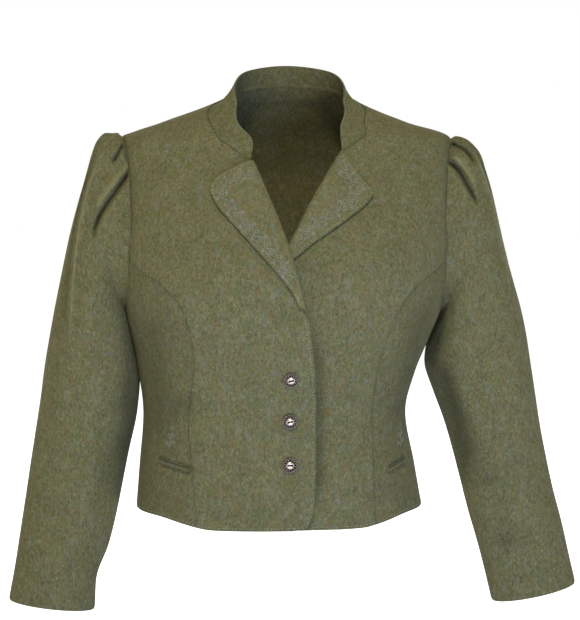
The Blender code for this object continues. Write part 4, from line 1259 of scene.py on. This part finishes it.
class JACKET_OT_seams(bpy.types.Operator):
    """Sew dark thread into the ditches of the seams between the pieces, as their painted shade"""
    bl_idname = "jacket.seams"
    bl_label = "Seams"

    def execute(self, context):
        trim = context.scene.jacket_trim
        maker = bmesh.new()
        for name, side in (("left", 1.0), ("right", -1.0)):
            lines = [PRINCESS, SIDE_SEAM, ARMHOLE[1:]]
            for line, names in zip(lines, (("front_", "side_front_"), ("side_front_", "back"),
                                           ("sleeve_", "front_", "side_front_", "back"))):
                skins = skin_of(*[(part if part == "back" else part + name) + "_cloth" for part in names])
                sew(maker, seam_places(on_side(line, side), SEAM_SPACING, skins), SEAM_STITCH)
        skins = skin_of("front_right_cloth", "front_left_cloth", "back_cloth", "collar_cloth")
        for rows in (NECK_SEAM_RIGHT, NECK_SEAM_LEFT, BACK_NECK_SEAM):
            sew(maker, seam_places(seam(rows, 40), SEAM_SPACING, skins), SEAM_STITCH)
        piece = show("seam_stitching", maker, thread("Seam thread", trim.seam_thread, 0.9))
        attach(piece, "root")
        return {"FINISHED"}


class JACKET_OT_topstitching(bpy.types.Operator):
    """Sew the rows of topstitching along the front edge, the hem, the lapels and the collar"""
    bl_idname = "jacket.topstitching"
    bl_label = "Topstitching"

    def execute(self, context):
        trim = context.scene.jacket_trim
        long = trim.stitch_length / MM
        inset = trim.stitch_inset / MM
        stitch = Stitch(long, 0.75, 0.6)
        spacing = long * 0.82
        maker = bmesh.new()

        turns = np.linspace(0, math.pi / 2, 9)
        corner = [(EDGE_RIGHT[0][0] - RIGHT_CORNER * (1 - math.sin(turn)),
                   HEM_Z + RIGHT_CORNER * (1 - math.cos(turn))) for turn in turns]
        edge = set_in(corner + list(EDGE_RIGHT[1:]), inset)
        fronts = skin_of("front_right_cloth")
        sew(maker, front_places(even_points(edge, spacing), fronts), stitch, every=2)

        body_skins = skin_of("front_right_cloth", "front_left_cloth", "side_front_left_cloth",
                             "side_front_right_cloth", "back_cloth")
        angles = np.linspace(angle_of(edge[0][0], HEM_Z + inset), -2 * math.pi + angle_of(8, HEM_Z), 4000)
        row = np.array([(angle, girth_of(hem_z(angle) + inset)) for angle in angles])
        sew(maker, seam_places(row, spacing, body_skins), stitch, every=2)

        for side, top, skin in ((LAPEL_SIDE_RIGHT, LAPEL_TOP_RIGHT, "lapel_right_cloth"),
                                (LAPEL_SIDE_LEFT, LAPEL_TOP_LEFT, "lapel_left_cloth")):
            way = 1 if side is LAPEL_SIDE_RIGHT else -1
            outline = even_points(list(top) + list(side[1:]), 2.0)
            line = set_in(outline, way * inset * 0.8)[2:-2]
            sew(maker, front_places(even_points(line, spacing), skin_of(skin)), stitch, every=2)

        row = (seam(COLLAR_TOP, 200) - np.array([0.0, inset * 0.8]))[3:-3]
        sew(maker, form_places(row, skin_of("collar_cloth")), stitch, every=2)
        piece = show("topstitching", maker, thread("Sewing thread", trim.sewing_thread, 0.7))
        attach(piece, "root")
        return {"FINISHED"}


class JACKET_OT_embroidery(bpy.types.Operator):
    """Embroider the scrolls on the lapels and the sprigs above the pockets"""
    bl_idname = "jacket.embroidery"
    bl_label = "Embroidery"

    def execute(self, context):
        colour = context.scene.jacket_trim.silk
        silk = thread("Scroll silk", colour, 0.5, sunk=0.55)
        bright = thread("Sprig silk", colour, 0.5, sunk=0.3)
        stitch = Stitch(1.7, 0.5, 0.4, 0.0)
        for name, lines, skins in (
                ("scroll_right", vine_lines(BAND_RIGHT), ["lapel_right_cloth"]),
                ("scroll_left", vine_lines(BAND_LEFT), ["lapel_left_cloth"]),
                ("sprig_right", sprig_lines(*SPRIG_RIGHT), ["side_front_right_cloth", "front_right_cloth"]),
                ("sprig_left", sprig_lines(*SPRIG_LEFT), ["side_front_left_cloth", "front_left_cloth"])):
            maker = bmesh.new()
            trees = skin_of(*skins)
            for line in lines:
                sew(maker, front_places(even_points(line, 1.3), trees), stitch, slant=0.2)
            piece = show(name, maker, silk if name.startswith("scroll") else bright)
            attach(piece, "root")
        return {"FINISHED"}


# Turned outline of a button, (radius, height) from the middle of its face to the middle of its back.
BUTTON_OUTLINE = ((0, 3.9), (1.0, 3.87), (2.0, 3.76), (3.0, 3.52), (3.8, 3.1), (4.4, 2.5), (4.8, 1.8),
                  (5.0, 1.3), (5.3, 1.05), (5.8, 1.0), (6.4, 1.1), (6.9, 1.4), (7.3, 1.95), (7.7, 2.3),
                  (8.3, 2.25), (8.9, 1.8), (9.2, 1.2), (9.1, 0.6), (8.4, 0.1), (4.0, 0), (0, 0))
BUTTON_STEPS, PETALS = 96, 12
# The finish reads its shade from the radius, so the slit counts as the hollow does, by adding to its radius,
# and the petals as the edge of the dome does. In the slit, the hollow's dark tarnish also stands as painted
# shade.
SLIT_DARK, PETAL_SHADE = 9.0, 4.6
SLIT_WIDTH, SLIT_DEPTH, SLIT_LENGTH = 0.95, 2.2, 3.1
PETAL_PLACE, PETAL_SIZE = (6.1, 1.25), (0.95, 0.5, 0.6)
FIRST_TURN, TURN_STEP = 0.35, 0.1      # the slits tilt, each less than the one above


class JACKET_OT_buttons(bpy.types.Operator):
    """Cast the three metal buttons: a scalloped rim, a ring of petals in the hollow and a slit dome"""
    bl_idname = "jacket.buttons"
    bl_label = "Buttons"

    def execute(self, context):
        metal = old_silver("Old silver")
        for number in (1, 2, 3):
            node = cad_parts[f"button_{number}"]
            maker = bmesh.new()
            line = [maker.verts.new((radius * MM, 0, height * MM)) for radius, height in BUTTON_OUTLINE]
            edges = [maker.edges.new(pair) for pair in zip(line, line[1:])]
            bmesh.ops.spin(maker, geom=line + edges, angle=2 * math.pi, steps=BUTTON_STEPS, axis=(0, 0, 1),
                           cent=(0, 0, 0), use_merge=True)
            bmesh.ops.remove_doubles(maker, verts=maker.verts, dist=1e-6)
            turned = maker.verts.layers.float.new("turned")
            for vert in maker.verts:
                radius, turn = math.hypot(vert.co.x, vert.co.y) / MM, math.atan2(vert.co.y, vert.co.x)
                vert[turned] = radius
                if radius > RIM_START:
                    wave = abs(math.cos(PETALS / 2 * turn)) ** 0.7
                    vert.co.xy *= 1 + (wave - 0.6) * 0.07
                    vert.co.z += (wave - 0.5) * 0.35 * MM * (vert.co.z > 0.5 * MM)
                elif vert.co.z > 2.0 * MM and abs(vert.co.x) < SLIT_LENGTH * MM:
                    cut = math.exp(-(vert.co.y / (SLIT_WIDTH * MM)) ** 2)
                    vert.co.z -= SLIT_DEPTH * MM * cut
                    # the slit takes the tarnish of the hollow, which here is painted shade as well as tarnish
                    vert[turned] += SLIT_DARK * cut
            bmesh.ops.recalc_face_normals(maker, faces=maker.faces)
            for petal in range(PETALS):
                turn = Matrix.Rotation(2 * math.pi * (petal + 0.5) / PETALS, 4, "Z")
                at = Matrix.Translation((PETAL_PLACE[0] * MM, 0, PETAL_PLACE[1] * MM))
                size = Matrix.Diagonal([radius * MM for radius in PETAL_SIZE] + [1])
                made = bmesh.ops.create_uvsphere(maker, u_segments=12, v_segments=8, radius=1.0,
                                                 matrix=turn @ at @ size)
                for vert in made["verts"]:
                    vert[turned] = PETAL_SHADE
            z = BUTTON_Z[number - 1]
            at = (angle_of(BUTTON_LINE_X, z), girth_of(z))
            normal = Vector(body_normal(*at))
            bounds = np.array([tuple(v.co) for v in node.data.vertices])
            low = min(Vector(place).dot(normal) for place in bounds)
            middle = Vector(bounds.mean(axis=0))
            seat = middle + normal * (low - middle.dot(normal))
            facing = normal.to_track_quat("Z", "Y").to_matrix().to_4x4()
            turn = facing @ Matrix.Rotation(FIRST_TURN - TURN_STEP * number, 4, "Z")
            bmesh.ops.transform(maker, matrix=Matrix.Translation(seat) @ turn, verts=maker.verts)
            piece = show(f"button_{number}_casting", maker, metal)
            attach(piece, "root")
            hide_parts(f"button_{number}")
        return {"FINISHED"}


# ------------------------------------------------------------------ stage
CAMERA_TURN, CAMERA_RISE, CAMERA_DISTANCE = -5.0, 6.4, 3.02
CAMERA_TARGET = (0.0094, 0.0, -0.256)
CAMERA_LENS = 140.28
AMBIENT = 0.10
# Each light's place, size and power, and its colour.
LIGHTS = (
    ("Key light", (-0.35, -2.1, 2.6), 0.5, 65.5, (1.0, 0.96, 0.85)),
    ("Low light", (0.3, -1.3, -0.78), 0.7, 12.0, (0.22, 0.42, 1.0)),
    ("Top light", (0.0, 0.3, 2.6), 2.0, 14.0, (1.0, 1.0, 1.0)),
    ("Back light", (0.3, 3.0, 1.3), 2.6, 36.0, (1.0, 1.0, 1.0)),
)
LIGHTS_AIM = (0.0, 0.0, -0.25)
# The floor is lit to white beyond the object: how bright, and over which distances it comes on.
FLOOR_GLOW = 1.0
GLOW_REACH = (0.35, 1.1)


class JACKET_OT_stage(bpy.types.Operator):
    """Set up the pale floor, the soft studio light and the camera"""
    bl_idname = "jacket.stage"
    bl_label = "Stage"

    def execute(self, context):
        stage = context.scene.jacket_stage
        maker = bmesh.new()
        bmesh.ops.create_grid(maker, x_segments=1, y_segments=1, size=9.0,
                              matrix=Matrix.Translation((0, 0, stage.floor_drop)))
        pale = list(stage.floor_colour)
        floor_finish = Finish("Studio floor", 0.9, Emission_Strength=FLOOR_GLOW)
        grain = floor_finish.noise(floor_finish.spot, 3.0, 1.0)
        away = floor_finish.node("VectorMath", {"operation": "LENGTH"},
                                 {0: floor_finish.stretched(1.0, 1.0, 0.0)}, output="Value")
        floor_finish.set(Base_Color=floor_finish.mix(grain, pale + [1.0], [c * 0.985 for c in pale] + [1.0]),
                         Emission_Color=floor_finish.mix(away.over(*GLOW_REACH), (0, 0, 0, 1), pale + [1.0]))
        floor = show("studio_floor", maker, floor_finish.material)

        for name, place, size, power, colour in LIGHTS:
            data = bpy.data.lights.new(name, "AREA")
            data.shape, data.size, data.energy, data.color = "DISK", size, power * stage.light, colour
            lamp = bpy.data.objects.new(name, data)
            lamp.location = place
            aim = Vector(LIGHTS_AIM) - Vector(place)
            lamp.rotation_euler = aim.to_track_quat("-Z", "Y").to_euler()
            context.scene.collection.objects.link(lamp)

        world = bpy.data.worlds.new("Studio")
        context.scene.world = world
        world.use_nodes = True
        nodes, links = world.node_tree.nodes, world.node_tree.links
        nodes["Background"].inputs["Color"].default_value = linear((255, 255, 255))
        # the white backdrop is brighter to the eye than the light that it throws on the cloth
        seen, strength = nodes.new("ShaderNodeLightPath"), nodes.new("ShaderNodeMapRange")
        links.new(seen.outputs["Is Camera Ray"], strength.inputs["Value"])
        strength.inputs["To Min"].default_value = AMBIENT * stage.light
        strength.inputs["To Max"].default_value = 1.0
        links.new(strength.outputs["Result"], nodes["Background"].inputs["Strength"])
        context.scene.view_settings.view_transform = "Standard"

        data = bpy.data.cameras.new("Camera")
        data.lens, data.sensor_width, data.sensor_fit = CAMERA_LENS, 36.0, "AUTO"
        camera = bpy.data.objects.new("Camera", data)
        turn, rise = math.radians(CAMERA_TURN), math.radians(CAMERA_RISE)
        back = Vector((math.sin(turn) * math.cos(rise), -math.cos(turn) * math.cos(rise), math.sin(rise)))
        camera.location = Vector(CAMERA_TARGET) + back * CAMERA_DISTANCE
        camera.rotation_euler = (-back).to_track_quat("-Z", "Y").to_euler()
        context.scene.collection.objects.link(camera)
        context.scene.camera = camera
        return {"FINISHED"}


class JACKET_PT_panel(bpy.types.Panel):
    """Settings and build steps of the jacket"""
    bl_idname = "JACKET_PT_panel"
    bl_label = "Loden Jacket"
    bl_space_type = "VIEW_3D"
    bl_region_type = "UI"
    bl_category = "Jacket"

    def draw(self, context):
        for group in (context.scene.jacket_cloth, context.scene.jacket_trim, context.scene.jacket_stage):
            box = self.layout.box()
            for key in group.__annotations__:
                box.prop(group, key)
        for step in STEPS:
            self.layout.operator(step.bl_idname)


STEPS = (JACKET_OT_fronts, JACKET_OT_side_fronts, JACKET_OT_back, JACKET_OT_sleeves, JACKET_OT_collar,
         JACKET_OT_lapels, JACKET_OT_welts, JACKET_OT_seams, JACKET_OT_topstitching, JACKET_OT_embroidery,
         JACKET_OT_buttons, JACKET_OT_stage)
GROUPS = (("jacket_cloth", JacketCloth), ("jacket_trim", JacketTrim), ("jacket_stage", JacketStage))


def register():
    """Add the settings, the operators and the panel to Blender."""
    for name, group in GROUPS:
        bpy.utils.register_class(group)
        setattr(bpy.types.Scene, name, bpy.props.PointerProperty(type=group))
    for kind in STEPS + (JACKET_PT_panel,):
        bpy.utils.register_class(kind)


def unregister():
    """Take them out again, last first."""
    for kind in reversed(STEPS + (JACKET_PT_panel,)):
        bpy.utils.unregister_class(kind)
    for name, group in reversed(GROUPS):
        delattr(bpy.types.Scene, name)
        bpy.utils.unregister_class(group)


def main():
    """Register the settings and operators, then build the jacket step by step."""
    register()
    for step in STEPS:
        group, name = step.bl_idname.split(".")
        getattr(getattr(bpy.ops, group), name)()


if __name__ == "__main__":
    main()
